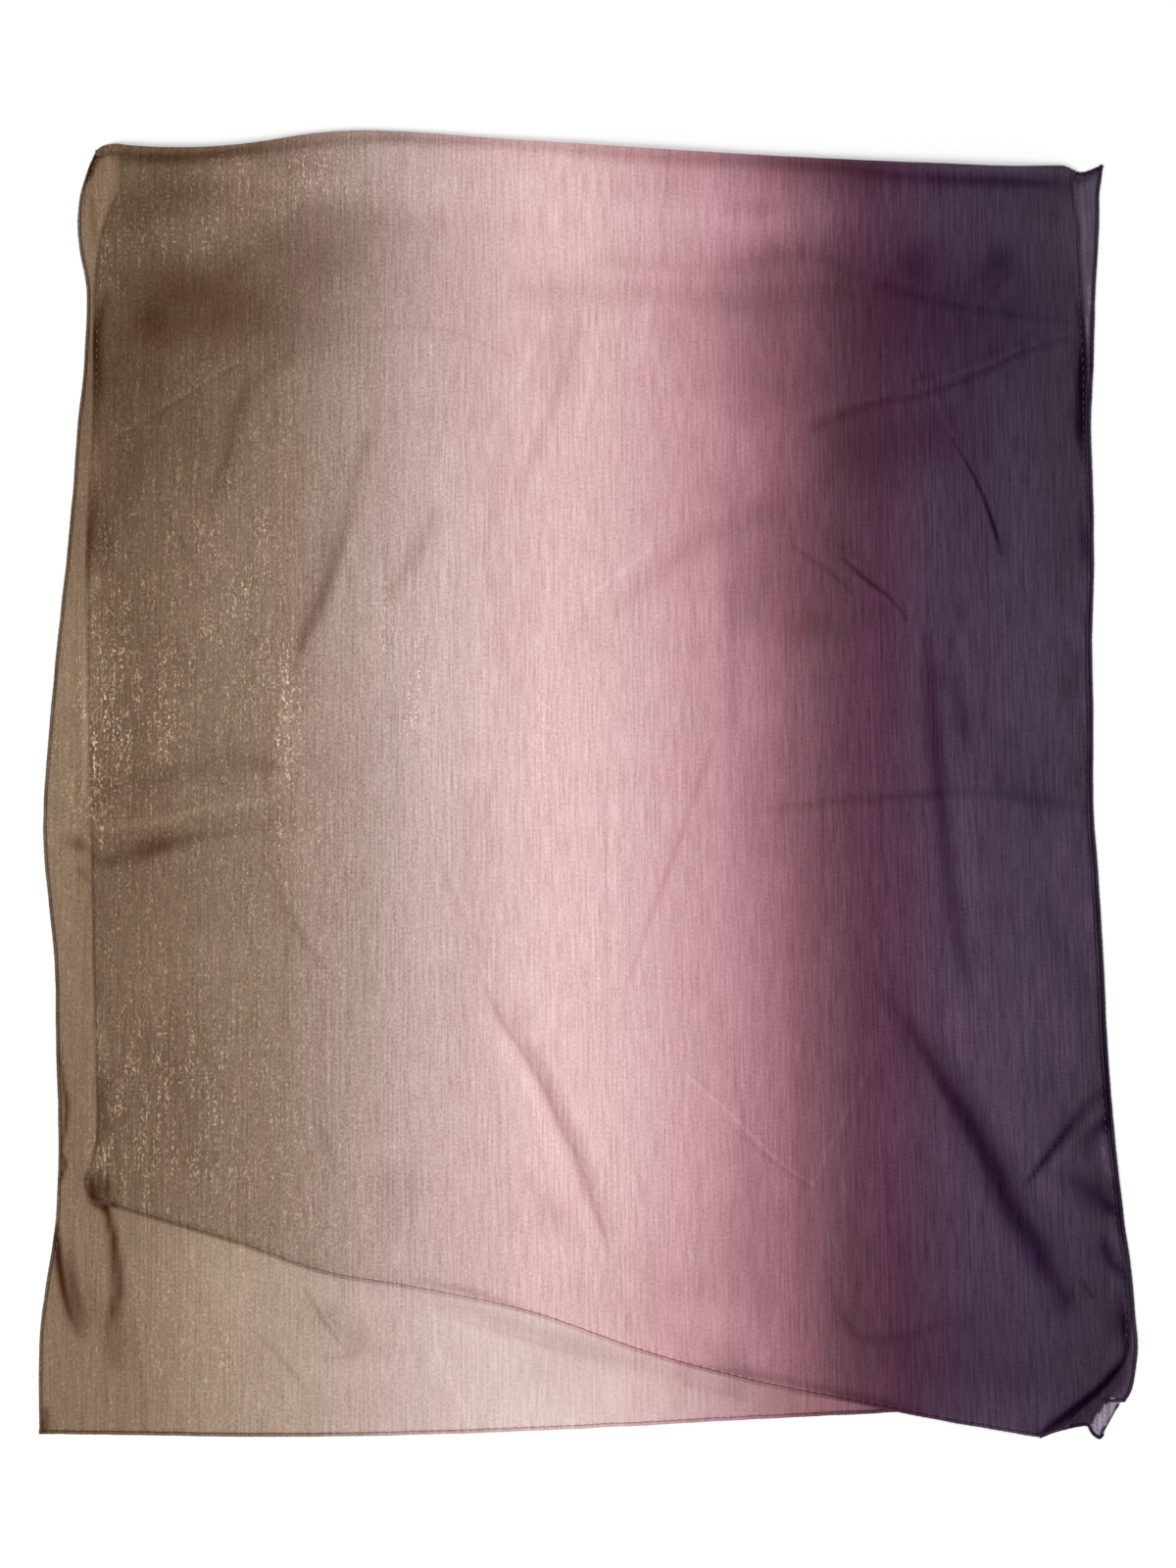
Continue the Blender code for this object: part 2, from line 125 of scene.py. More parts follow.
# Main creases: from (x0, y0) to (x1, y1); bow is how far the middle lies to the
# left of that line, half is half the width, rise the height.
#    name            x0    y0    x1    y1   bow  half  rise
UPPER_FOLDS = [
    ("right_big", 210, -136, 326, -338, -4, 14, 4.9),
    ("right_branch", 294, -272, 345, -215, 2, 8, 2.6),
    ("middle_long", -70, -140, 18, -322, 8, 12, 1.6),
    ("left_band", -152, 250, -198, 86, 5, 11, 2.0),
    ("left_soft", -205, 300, -255, 184, -12, 13, 2.3),
    ("left_edge", -320, 280, -339, 140, -3, 11, 2.0),
    ("cross_left", -336, -49, -200, -17, -5, 13, 2.3),
    ("cross_right", 122, -17, 338, -17, 5, 10, 1.6),
    ("top_right_arc", 198, 370, 322, 313, -12, 10, 2.0),
    ("top_right_line", 178, 250, 330, 308, 3, 8, 2.0),
    ("right_thin", 226, 290, 284, 163, 3, 7, 2.0),
    ("right_thin_low", 176, 154, 222, 108, 2, 7, 2.0),
    ("right_upright", 232, 98, 258, -138, -9, 12, 2.0),
    ("middle_short", -100, 192, -137, 130, 0, 9, 1.6),
    ("middle_top", -10, 305, -52, 190, 3, 10, 1.6),
    ("middle_slant", 96, 72, 28, -110, 2, 10, 1.6),
    ("corner_curl", 352, -345, 292, -424, 15, 13, 3.9),
]
LOWER_FOLDS = [
    ("tuck_inner", -322, -299, -311, -388, -3, 8, 4.5),
    ("tuck_outer", -351, -303, -339, -368, -2, 7, 3.5),
]

# Painted shade and painted light along the folds and creases, as strokes through points of (x, y, half width, amount):
# below 0 a painted shade, above 0 a painted highlight.
UPPER_PAINTED_SHADE = [
    ("fold_far_side", [(-339, 438, 4.0, -0.12), (-305, 432, 5.3, -0.30), (-271, 432, 5.3, -0.33), (-237, 436, 5.3, -0.30), (-214, 439, 6.0, -0.22), (-183, 443, 5.3, -0.17), (-149, 446, 4.0, -0.17), (-122, 446, 4.6, -0.24), (-54, 441, 4.0, -0.12), (0, 436, 5.3, -0.15), (54, 431, 6.0, -0.17), (108, 429, 6.0, -0.20), (163, 425, 6.0, -0.26), (217, 418, 6.0, -0.30), (271, 415, 5.3, -0.30), (312, 414, 5.3, -0.30), (333, 414, 4.6, -0.20)]),
    ("fold_shade", [(-224, 426, 6.0, -0.05), (-197, 424, 7.3, -0.07), (-173, 426, 6.0, -0.05)]),
    ("fold_crown_right", [(244, 424, 2.7, 0.05), (271, 424, 3.3, 0.12), (298, 424, 3.3, 0.16), (329, 423, 3.3, 0.14)]),
    ("fold_near_side", [(-318, 415, 8.0, 0.03), (-237, 419, 8.0, 0.05), (-136, 412, 12.0, 0.02), (-54, 405, 13.3, 0.03), (27, 396, 14.6, 0.05), (108, 393, 15.9, 0.10), (176, 390, 14.6, 0.12), (230, 399, 9.3, 0.04), (271, 397, 10.6, 0.05), (328, 379, 9.3, 0.10)]),
    ("top_right_shade", [(274, 397, 4.6, -0.06), (284, 394, 5.3, -0.10), (298, 392, 5.3, -0.08), (308, 399, 4.0, -0.04)]),
    ("top_left_spread", [(-247, 364, 13.3, -0.10), (-210, 381, 13.3, -0.12), (-173, 396, 12.0, -0.09), (-108, 383, 10.6, -0.04)]),
    ("tl_streak", [(-251, 349, 3.3, -0.05), (-240, 354, 4.0, -0.08), (-216, 367, 4.0, -0.05), (-203, 374, 3.3, -0.03)]),
    ("tl_streak_lit", [(-260, 357, 4.0, 0.02), (-237, 372, 4.6, 0.05), (-210, 385, 4.6, 0.03)]),
    ("top_left_drop", [(-207, 294, 5.3, -0.08), (-228, 276, 6.0, -0.10), (-240, 258, 6.0, -0.14), (-245, 229, 5.3, -0.13), (-250, 198, 4.0, -0.07)]),
    ("tl_drop_two", [(-247, 229, 4.0, -0.06), (-254, 207, 4.6, -0.12), (-260, 181, 4.0, -0.06)]),
    ("left_rim", [(-331, 338, 2.7, -0.16), (-337, 322, 4.0, -0.31), (-341, 304, 5.3, -0.58), (-339, 270, 5.3, -0.28), (-340, 242, 4.0, -0.08), (-340, 221, 4.6, 0.14), (-338, 195, 4.6, -0.20), (-342, 171, 4.6, -0.38), (-346, 146, 4.0, -0.55), (-351, 126, 2.7, -0.40)]),
    ("left_rim_in", [(-309, 232, 9.3, -0.06), (-322, 188, 8.6, -0.10), (-332, 154, 5.3, -0.04), (-336, 137, 5.3, 0.18)]),
    ("left_scratch", [(-329, 236, 1.1, 0.13), (-296, 258, 1.1, 0.13), (-266, 276, 1.1, 0.12), (-238, 294, 1.1, 0.08)]),
    ("left_scratch_under", [(-328, 233, 1.7, -0.07), (-266, 272, 1.7, -0.07), (-238, 290, 1.7, -0.04)]),
    ("left_scratch_two", [(-295, 196, 1.3, -0.05), (-276, 164, 1.3, -0.10), (-257, 129, 1.3, -0.08)]),
    ("left_band", [(-151, 239, 4.0, -0.10), (-160, 202, 5.3, -0.17), (-170, 161, 6.0, -0.21), (-185, 120, 5.3, -0.27), (-196, 92, 3.3, -0.20)]),
    ("left_band_core", [(-167, 229, 3.3, -0.04), (-175, 195, 3.3, -0.04), (-184, 154, 3.3, -0.06), (-193, 120, 3.3, -0.05), (-202, 73, 4.0, -0.08)]),
    ("left_band_lit", [(-152, 222, 5.3, 0.07), (-161, 188, 5.3, 0.12), (-167, 147, 4.6, 0.06), (-174, 107, 5.3, 0.05), (-178, 67, 6.0, 0.06), (-180, 27, 5.3, 0.06)]),
    ("left_band_two", [(-103, 187, 5.3, -0.05), (-116, 160, 6.0, -0.10), (-134, 130, 4.6, -0.08)]),
    ("glow_left", [(-335, 134, 6.0, 0.05), (-330, 94, 8.0, 0.08), (-326, 53, 8.0, 0.08), (-321, 7, 6.0, 0.05)]),
    ("glow_left_two", [(-287, 73, 6.0, 0.05), (-289, 50, 6.0, 0.07), (-293, 23, 5.3, 0.05)]),
    ("glow_left_three", [(-207, 75, 4.0, 0.06), (-205, 47, 4.6, 0.10), (-206, 10, 4.0, 0.08)]),
    ("edge_glow", [(-339, 134, 2.7, 0.05), (-338, 100, 4.0, 0.13), (-337, 60, 4.6, 0.16), (-336, 13, 4.0, 0.13), (-336, -20, 3.3, 0.08), (-336, -40, 2.0, 0.04)]),
    ("cross_left_lit", [(-339, -31, 3.3, 0.10), (-312, -28, 3.3, 0.14), (-286, -24, 3.3, 0.14), (-256, -16, 3.3, 0.10), (-213, -11, 2.7, 0.07)]),
    ("cross_left_dark", [(-351, -42, 3.3, -0.45), (-343, -47, 3.3, -0.33), (-332, -51, 4.0, -0.13), (-323, -52, 4.6, -0.22), (-312, -49, 6.6, -0.19), (-299, -45, 7.3, -0.29), (-286, -41, 6.6, -0.28), (-274, -38, 5.3, -0.22), (-258, -35, 4.0, -0.13), (-233, -31, 4.0, -0.09), (-199, -23, 3.3, -0.05)]),
    ("cross_left_above", [(-329, -2, 6.0, -0.07), (-273, 8, 8.0, -0.10), (-240, 15, 8.0, -0.10), (-216, 12, 6.6, -0.14)]),
    ("cross_left_low", [(-343, -59, 4.6, -0.28), (-341, -67, 4.0, -0.22)]),
    ("left_slant", [(-219, -48, 3.3, -0.05), (-209, -76, 4.0, -0.11), (-197, -98, 3.3, -0.13), (-179, -123, 2.7, -0.05)]),
    ("left_slant_lit", [(-218, -59, 4.0, 0.06), (-213, -72, 4.0, 0.08), (-206, -90, 4.0, 0.07)]),
    ("left_edge_line", [(-337, -53, 1.6, -0.15), (-335, -93, 1.6, -0.20), (-334, -133, 1.6, -0.12), (-332, -172, 1.7, 0.05), (-328, -211, 2.0, -0.10), (-329, -241, 2.0, -0.15)]),
    ("edge_lit", [(-331, -152, 3.3, 0.08), (-330, -172, 4.0, 0.20), (-330, -192, 3.3, 0.14)]),
    ("left_corner", [(-337, -264, 2.3, -0.15), (-335, -272, 3.7, -0.32), (-330, -281, 3.3, -0.66), (-324, -284, 3.3, -0.60), (-319, -284, 3.0, -0.48)]),
    ("corner_streak_one", [(-334, -260, 1.6, -0.08), (-333, -268, 2.0, -0.34), (-331, -274, 2.0, -0.20)]),
    ("corner_streak_two", [(-322, -257, 1.6, -0.12), (-322, -267, 2.1, -0.38), (-322, -277, 2.7, -0.38)]),
    ("corner_streak_three", [(-328, -259, 1.6, -0.15), (-328, -268, 2.3, -0.36), (-327, -275, 2.7, -0.26)]),
    ("corner_lit_one", [(-335, -249, 0.9, 0.15), (-335, -257, 0.9, 0.45), (-334, -266, 0.8, 0.10)]),
    ("corner_lit_two", [(-331, -243, 0.9, 0.30), (-330, -251, 0.9, 0.45), (-330, -261, 0.8, 0.15)]),
    ("corner_lit_three", [(-325, -243, 0.9, 0.20), (-325, -254, 0.9, 0.40), (-324, -265, 0.8, 0.15)]),
    ("end_soft_left", [(-318, -282, 2.7, -0.14), (-296, -290, 3.3, -0.15), (-263, -299, 3.3, -0.15), (-223, -310, 2.7, -0.12), (-177, -327, 2.7, -0.10), (-118, -338, 2.7, -0.06)]),
    ("end_dark", [(-118, -332, 2.0, -0.05), (-79, -340, 2.3, -0.15), (-52, -349, 2.3, -0.11), (-26, -360, 2.3, -0.13), (0, -370, 2.0, -0.08), (33, -380, 2.3, -0.12), (65, -389, 2.3, -0.15), (124, -397, 3.3, -0.14), (150, -403, 3.3, -0.16), (176, -410, 3.3, -0.12), (204, -416, 3.3, -0.14)]),
    ("end_deep", [(157, -402, 3.3, -0.08), (176, -408, 4.0, -0.12), (199, -414, 4.6, -0.16), (222, -418, 4.0, -0.12)]),
    ("corner_above", [(-324, -231, 3.3, -0.10), (-326, -211, 3.3, -0.14), (-327, -188, 2.7, -0.10)]),
    ("below_crest", [(-41, 341, 10.6, -0.03), (41, 337, 10.0, -0.06), (108, 333, 10.0, -0.06), (176, 338, 9.3, -0.05)]),
    ("crest_shade", [(7, 360, 4.0, -0.03), (27, 359, 4.6, -0.06), (68, 357, 4.6, -0.04), (112, 357, 4.6, -0.05), (135, 359, 3.3, 0.00)]),
    ("low_left_mark", [(-183, -224, 2.7, -0.05), (-175, -241, 3.3, -0.08), (-169, -262, 2.7, -0.06)]),
    ("low_line", [(99, -166, 2.3, -0.03), (100, -198, 2.3, -0.07), (103, -226, 2.7, -0.10), (104, -238, 2.0, -0.04)]),
    ("middle_long", [(-77, -117, 2.0, -0.02), (-67, -141, 1.7, -0.07), (-58, -159, 1.7, -0.09), (-39, -188, 2.0, -0.10), (-26, -211, 2.0, -0.09), (-16, -234, 2.0, -0.06), (-7, -249, 2.0, -0.05), (3, -279, 2.0, -0.05), (12, -304, 1.7, -0.08), (15, -316, 1.6, -0.05)]),
    ("middle_long_soft", [(-62, -144, 4.0, -0.02), (-53, -160, 4.6, -0.05), (-34, -189, 5.3, -0.10), (-25, -211, 5.3, -0.12), (-14, -234, 6.0, -0.12), (-7, -252, 6.0, -0.13), (3, -278, 5.3, -0.10), (11, -301, 4.0, -0.06)]),
    ("middle_long_lit", [(-71, -159, 5.3, 0.02), (-50, -192, 6.0, 0.02), (-26, -238, 6.0, 0.02), (-10, -283, 4.6, 0.01)]),
    ("middle_long_two", [(-47, -257, 4.0, -0.02), (-35, -272, 4.6, -0.04), (-22, -290, 4.6, -0.05), (-9, -306, 4.0, -0.03)]),
    ("middle_seam_line", [(12, 0, 1.5, -0.04), (13, -67, 1.5, -0.06), (13, -126, 1.5, -0.06), (13, -188, 1.5, -0.03)]),
    ("middle_seam_lit", [(16, 0, 2.0, 0.02), (17, -67, 2.0, 0.03), (17, -133, 2.0, 0.02)]),
    ("middle_down", [(85, 29, 2.0, -0.04), (64, -32, 2.0, -0.07), (38, -104, 2.0, -0.06), (25, -139, 2.0, -0.03)]),
    ("vee", [(68, -197, 1.1, 0.07), (98, -224, 1.1, 0.09), (128, -253, 1.1, 0.10), (151, -269, 1.1, 0.10)]),
    ("vee_two", [(151, -269, 1.1, 0.10), (173, -224, 1.1, 0.09), (193, -185, 1.1, 0.09), (209, -152, 1.1, 0.07)]),
    ("vee_lit", [(204, -148, 3.3, 0.06), (192, -173, 3.3, 0.02), (179, -204, 3.3, 0.02)]),
    ("vee_under", [(99, -234, 2.0, -0.06), (118, -249, 2.0, -0.07), (148, -270, 2.0, -0.04)]),
    ("hook", [(159, -319, 2.0, -0.06), (168, -351, 2.7, -0.10), (183, -370, 4.0, -0.12), (213, -369, 4.0, -0.12), (244, -360, 2.0, -0.07)]),
    ("right_big", [(202, -144, 5.3, -0.16), (221, -172, 7.3, -0.34), (235, -196, 7.3, -0.43), (249, -218, 8.3, -0.49), (260, -238, 9.3, -0.54), (271, -258, 10.0, -0.56), (278, -274, 10.0, -0.55), (288, -293, 9.6, -0.53), (299, -308, 9.3, -0.48), (306, -324, 9.3, -0.42), (320, -345, 6.6, -0.26)]),
    ("big_start_lit", [(209, -93, 4.0, 0.05), (209, -110, 4.0, 0.07), (212, -126, 3.3, 0.04)]),
    ("right_big_lit", [(243, -163, 9.3, 0.08), (273, -204, 12.0, 0.06), (300, -251, 11.3, 0.06), (321, -295, 9.3, 0.08)]),
    ("branch", [(295, -268, 1.7, -0.44), (304, -256, 2.7, -0.62), (314, -243, 3.0, -0.58), (322, -233, 3.7, -0.52), (329, -224, 3.7, -0.37), (339, -214, 3.3, -0.28), (347, -207, 2.7, -0.30)]),
    ("branch_low", [(320, -247, 2.7, -0.08), (328, -242, 4.6, -0.17), (337, -238, 5.3, -0.19), (347, -232, 4.0, -0.16)]),
    ("below_branch", [(329, -238, 3.3, -0.12), (340, -232, 4.6, -0.26), (349, -227, 4.6, -0.46), (353, -219, 2.7, -0.30)]),
    ("branch_lit", [(313, -257, 2.7, 0.12), (329, -239, 4.0, 0.22), (343, -223, 2.7, 0.15)]),
    ("right_blob", [(326, -267, 6.6, -0.26), (337, -273, 10.0, -0.36), (347, -281, 9.3, -0.42), (355, -287, 6.0, -0.60), (357, -300, 3.3, -0.40)]),
    ("rim_spot", [(353, -266, 2.0, -0.20), (354, -273, 2.7, -0.40), (356, -278, 2.0, -0.20)]),
    ("right_blob_two", [(345, -303, 2.7, -0.22), (347, -312, 5.3, -0.44), (351, -321, 4.6, -0.42), (359, -329, 3.3, -0.36)]),
    ("rim_low", [(343, -139, 1.7, -0.16), (346, -159, 2.0, -0.20), (347, -185, 2.0, -0.27), (348, -211, 2.3, -0.50), (349, -226, 2.1, -0.50), (349, -234, 2.0, -0.40)]),
    ("rim_lit_low", [(345, -230, 0.9, 0.30), (346, -245, 0.9, 0.50), (349, -264, 0.9, 0.30)]),
    ("right_blob_lit", [(348, -245, 3.3, 0.16), (351, -264, 2.7, 0.20), (354, -290, 2.7, 0.18), (352, -318, 2.7, 0.15)]),
    ("cross_right", [(114, -19, 2.0, -0.05), (166, -12, 2.7, -0.13), (220, -8, 3.3, -0.16), (266, -5, 3.3, -0.08), (296, -9, 4.6, -0.16), (333, -15, 4.0, -0.10)]),
    ("right_rim", [(338, 330, 2.7, -0.32), (341, 307, 3.3, -0.60), (340, 285, 4.6, -0.74), (339, 261, 4.6, -0.70), (338, 242, 4.6, -0.64), (339, 227, 3.3, -0.35), (338, 205, 2.7, -0.04), (339, 164, 4.0, -0.38), (341, 146, 2.7, -0.10)]),
    ("edge_column_two", [(341, -86, 3.3, 0.06), (342, -123, 3.3, 0.05)]),
    ("edge_column_one", [(340, 141, 3.3, 0.08), (340, 107, 3.3, 0.06), (340, 67, 3.3, 0.07), (340, 27, 3.3, 0.07)]),
    ("right_rim_two", [(333, 83, 4.6, -0.10), (327, 63, 5.3, -0.17), (326, 53, 4.0, -0.10), (336, 43, 2.0, -0.06), (341, 0, 2.0, -0.38), (342, -23, 2.0, -0.42), (343, -40, 1.7, -0.36), (344, -106, 1.3, -0.30)]),
    ("upright", [(231, 99, 4.6, -0.20), (234, 53, 6.0, -0.31), (237, 0, 6.0, -0.33), (241, -40, 6.0, -0.30), (247, -86, 6.0, -0.26), (255, -133, 4.6, -0.12)]),
    ("upright_pinch", [(248, 0, 2.7, -0.03), (249, -15, 3.3, -0.07), (247, -28, 2.7, -0.03)]),
    ("upright_top", [(239, 107, 4.0, -0.06), (244, 80, 4.6, -0.07), (251, 52, 5.3, -0.09), (253, 33, 4.0, -0.05)]),
    ("upright_dark", [(239, -76, 4.0, -0.04), (241, -96, 4.6, -0.07), (244, -116, 4.0, -0.04)]),
    ("upright_lit", [(248, 27, 4.0, 0.03), (253, -27, 4.6, 0.07), (259, -67, 5.3, 0.06), (267, -106, 5.3, 0.05)]),
    ("upright_two", [(251, 73, 4.0, -0.09), (255, 53, 4.0, -0.20), (257, 37, 4.0, -0.22), (261, 23, 2.7, -0.10)]),
    ("upright_three", [(269, 97, 2.7, -0.07), (270, 67, 2.7, -0.12), (271, 35, 2.7, -0.06)]),
    ("upright_four", [(309, -63, 3.3, -0.03), (312, -86, 4.0, -0.10), (317, -110, 3.3, -0.05)]),
    ("right_dark_three", [(330, -113, 4.0, -0.05), (330, -133, 4.6, -0.11), (331, -146, 4.0, -0.06)]),
    ("right_dark_two", [(285, -123, 5.3, -0.05), (284, -146, 6.0, -0.10), (285, -162, 5.3, -0.07)]),
    ("right_dark_one", [(254, -106, 5.3, -0.06), (255, -126, 6.0, -0.12), (258, -146, 5.3, -0.06)]),
    ("right_glow_line", [(316, -27, 6.6, 0.07), (319, -67, 7.3, 0.10), (316, -100, 6.0, 0.04)]),
    ("long_arc", [(105, 362, 6.0, -0.05), (156, 363, 6.0, -0.12), (189, 349, 4.0, -0.14), (243, 331, 3.3, -0.14), (290, 323, 2.7, -0.12), (335, 318, 2.0, -0.12)]),
    ("crease_ur", [(155, 245, 4.6, -0.18), (178, 256, 4.6, -0.18), (205, 263, 3.0, -0.20), (232, 268, 2.3, -0.18), (270, 282, 2.0, -0.18), (300, 297, 2.0, -0.18), (332, 307, 2.0, -0.10)]),
    ("lit_by_crease", [(168, 257, 2.7, 0.04), (183, 262, 3.3, 0.12), (199, 267, 2.7, 0.06)]),
    ("crease_ur_lit", [(202, 270, 2.0, 0.05), (270, 287, 2.0, 0.07), (300, 302, 2.0, 0.07), (331, 311, 2.0, 0.04)]),
    ("small_arc", [(269, 326, 1.7, -0.06), (284, 345, 1.7, -0.10), (301, 356, 1.7, -0.06)]),
    ("thin_top", [(219, 307, 1.3, -0.08), (225, 293, 1.3, -0.12), (231, 278, 1.3, -0.08)]),
    ("thin_one_lit", [(235, 271, 1.2, 0.08), (246, 248, 1.2, 0.10), (259, 222, 1.2, 0.04)]),
    ("thin_one", [(250, 237, 1.1, -0.20), (259, 221, 1.1, -0.36), (269, 200, 1.3, -0.46), (275, 184, 1.5, -0.62), (279, 172, 1.7, -0.58), (282, 158, 1.2, -0.28)]),
    ("thin_two_soft", [(142, 162, 2.0, -0.08), (164, 146, 2.1, -0.15), (181, 132, 2.0, -0.10)]),
    ("thin_two", [(176, 153, 1.3, -0.24), (186, 143, 1.9, -0.38), (196, 135, 1.7, -0.40), (204, 129, 1.5, -0.34), (211, 121, 1.3, -0.31), (218, 112, 1.2, -0.28)]),
    ("pool_arc", [(152, 196, 8.0, -0.05), (162, 178, 9.3, -0.06), (180, 156, 9.3, -0.06), (204, 137, 6.6, -0.03)]),
    ("thin_two_lit", [(181, 154, 1.5, 0.07), (201, 138, 1.5, 0.12), (221, 119, 1.3, 0.05)]),
    ("middle_top_lit", [(-27, 323, 3.3, 0.03), (-37, 302, 2.7, 0.05), (-55, 262, 2.7, 0.04), (-74, 222, 2.7, 0.02)]),
    ("middle_top", [(-7, 311, 4.0, -0.05), (-19, 276, 4.0, -0.06), (-32, 242, 4.0, -0.06), (-49, 194, 3.3, -0.04)]),
    ("middle_top_two", [(44, 348, 2.7, 0.04), (40, 324, 2.7, 0.06), (36, 300, 2.7, 0.04)]),
    ("swath", [(-7, 104, 6.0, -0.03), (33, 131, 7.3, -0.05), (77, 168, 9.3, -0.09), (127, 188, 13.3, -0.10)]),
    ("swath_lit", [(-1, 126, 1.7, 0.05), (21, 144, 1.7, 0.06), (42, 160, 1.7, 0.04)]),
    ("packing_line", [(-157, 315, 1.3, -0.03), (-118, 315, 1.3, -0.05), (-88, 311, 1.3, -0.05), (-64, 300, 1.3, -0.03)]),
    ("crest_line", [(56, 437, 1.3, -0.06), (54, 407, 1.3, -0.06), (51, 361, 1.3, -0.03)]),
    ("crest_line_two", [(90, 437, 1.3, -0.06), (93, 421, 1.3, -0.04)]),
    ("plum_line", [(97, 134, 2.7, -0.05), (98, 80, 2.7, -0.06), (97, 23, 2.7, -0.04)]),
    ("column_840", [(161, 13, 8.0, -0.04), (160, -33, 9.3, -0.05), (157, -80, 8.6, -0.05), (156, -106, 6.6, -0.02)]),
    ("column_770", [(113, 20, 8.0, -0.03), (113, 0, 9.3, -0.05), (113, -40, 9.3, -0.04), (114, -67, 6.6, -0.02)]),
    ("column_800", [(134, 73, 8.0, 0.03), (133, 27, 8.0, 0.04)]),
    ("column_885", [(191, 87, 8.0, 0.02), (190, 60, 9.3, 0.05), (187, 30, 8.0, 0.04)]),
    ("fan_one", [(-105, 307, 3.3, 0.02), (-118, 236, 3.3, 0.03), (-131, 161, 3.3, 0.02)]),
    ("fan_two", [(-54, 242, 3.3, -0.03), (-67, 161, 3.3, -0.03), (-53, 67, 3.3, -0.02)]),
    ("column_mid", [(-74, 236, 9.3, 0.01), (-74, 174, 9.3, 0.04), (-74, 120, 9.3, 0.05), (-73, 67, 9.3, 0.05), (-73, 13, 8.0, 0.04)]),
    ("fan_three", [(-27, 161, 2.7, 0.02), (-31, 80, 2.7, 0.03), (-27, 0, 2.7, 0.02)]),
    ("fan_four", [(7, 317, 3.3, 0.04), (0, 273, 3.3, 0.05), (-7, 236, 2.7, 0.02)]),
    ("fan_five", [(-87, 13, 2.0, -0.02), (-80, -67, 2.0, -0.03), (-70, -123, 2.0, -0.03)]),
    ("fan_six", [(-106, -40, 1.7, -0.03), (-92, -73, 1.7, -0.04), (-76, -106, 1.7, -0.03)]),
    ("curl", [(361, -376, 2.3, -0.40), (357, -387, 3.0, -0.65), (350, -395, 3.5, -0.76), (340, -405, 3.7, -0.76), (328, -414, 3.9, -0.80), (317, -423, 3.7, -0.76), (307, -430, 3.0, -0.64), (302, -434, 2.3, -0.50)]),
    ("rim_low_two", [(355, -343, 3.3, -0.20), (358, -360, 5.3, -0.49), (360, -375, 3.3, -0.45)]),
    ("curl_soft", [(335, -401, 6.6, -0.03), (317, -415, 7.3, -0.02)]),
    ("curl_tip", [(291, -427, 3.3, -0.06), (296, -431, 3.3, -0.16), (300, -434, 2.0, -0.10)]),
    ("low_soft", [(200, -374, 12.0, -0.06), (236, -390, 13.3, -0.06), (288, -396, 13.3, -0.08)]),
    ("low_right_fleck", [(332, -334, 1.7, -0.26), (337, -343, 1.9, -0.34)]),
    ("low_streak_one", [(74, -257, 2.7, -0.03), (76, -322, 2.7, -0.03), (88, -380, 2.7, 0.03)]),
    ("low_streak_two", [(105, -270, 3.3, 0.02), (106, -341, 4.0, 0.05), (113, -393, 4.0, 0.06)]),
    ("low_streak_three", [(36, -264, 2.7, -0.02), (41, -322, 2.7, -0.03), (45, -367, 2.7, -0.03)]),
    ("low_streak_four", [(-124, -185, 2.0, -0.02), (-118, -251, 2.0, -0.04), (-119, -309, 2.0, -0.02)]),
    ("low_streak_five", [(-63, -205, 2.0, -0.02), (-53, -264, 2.0, -0.03), (-36, -322, 2.0, -0.02)]),
]
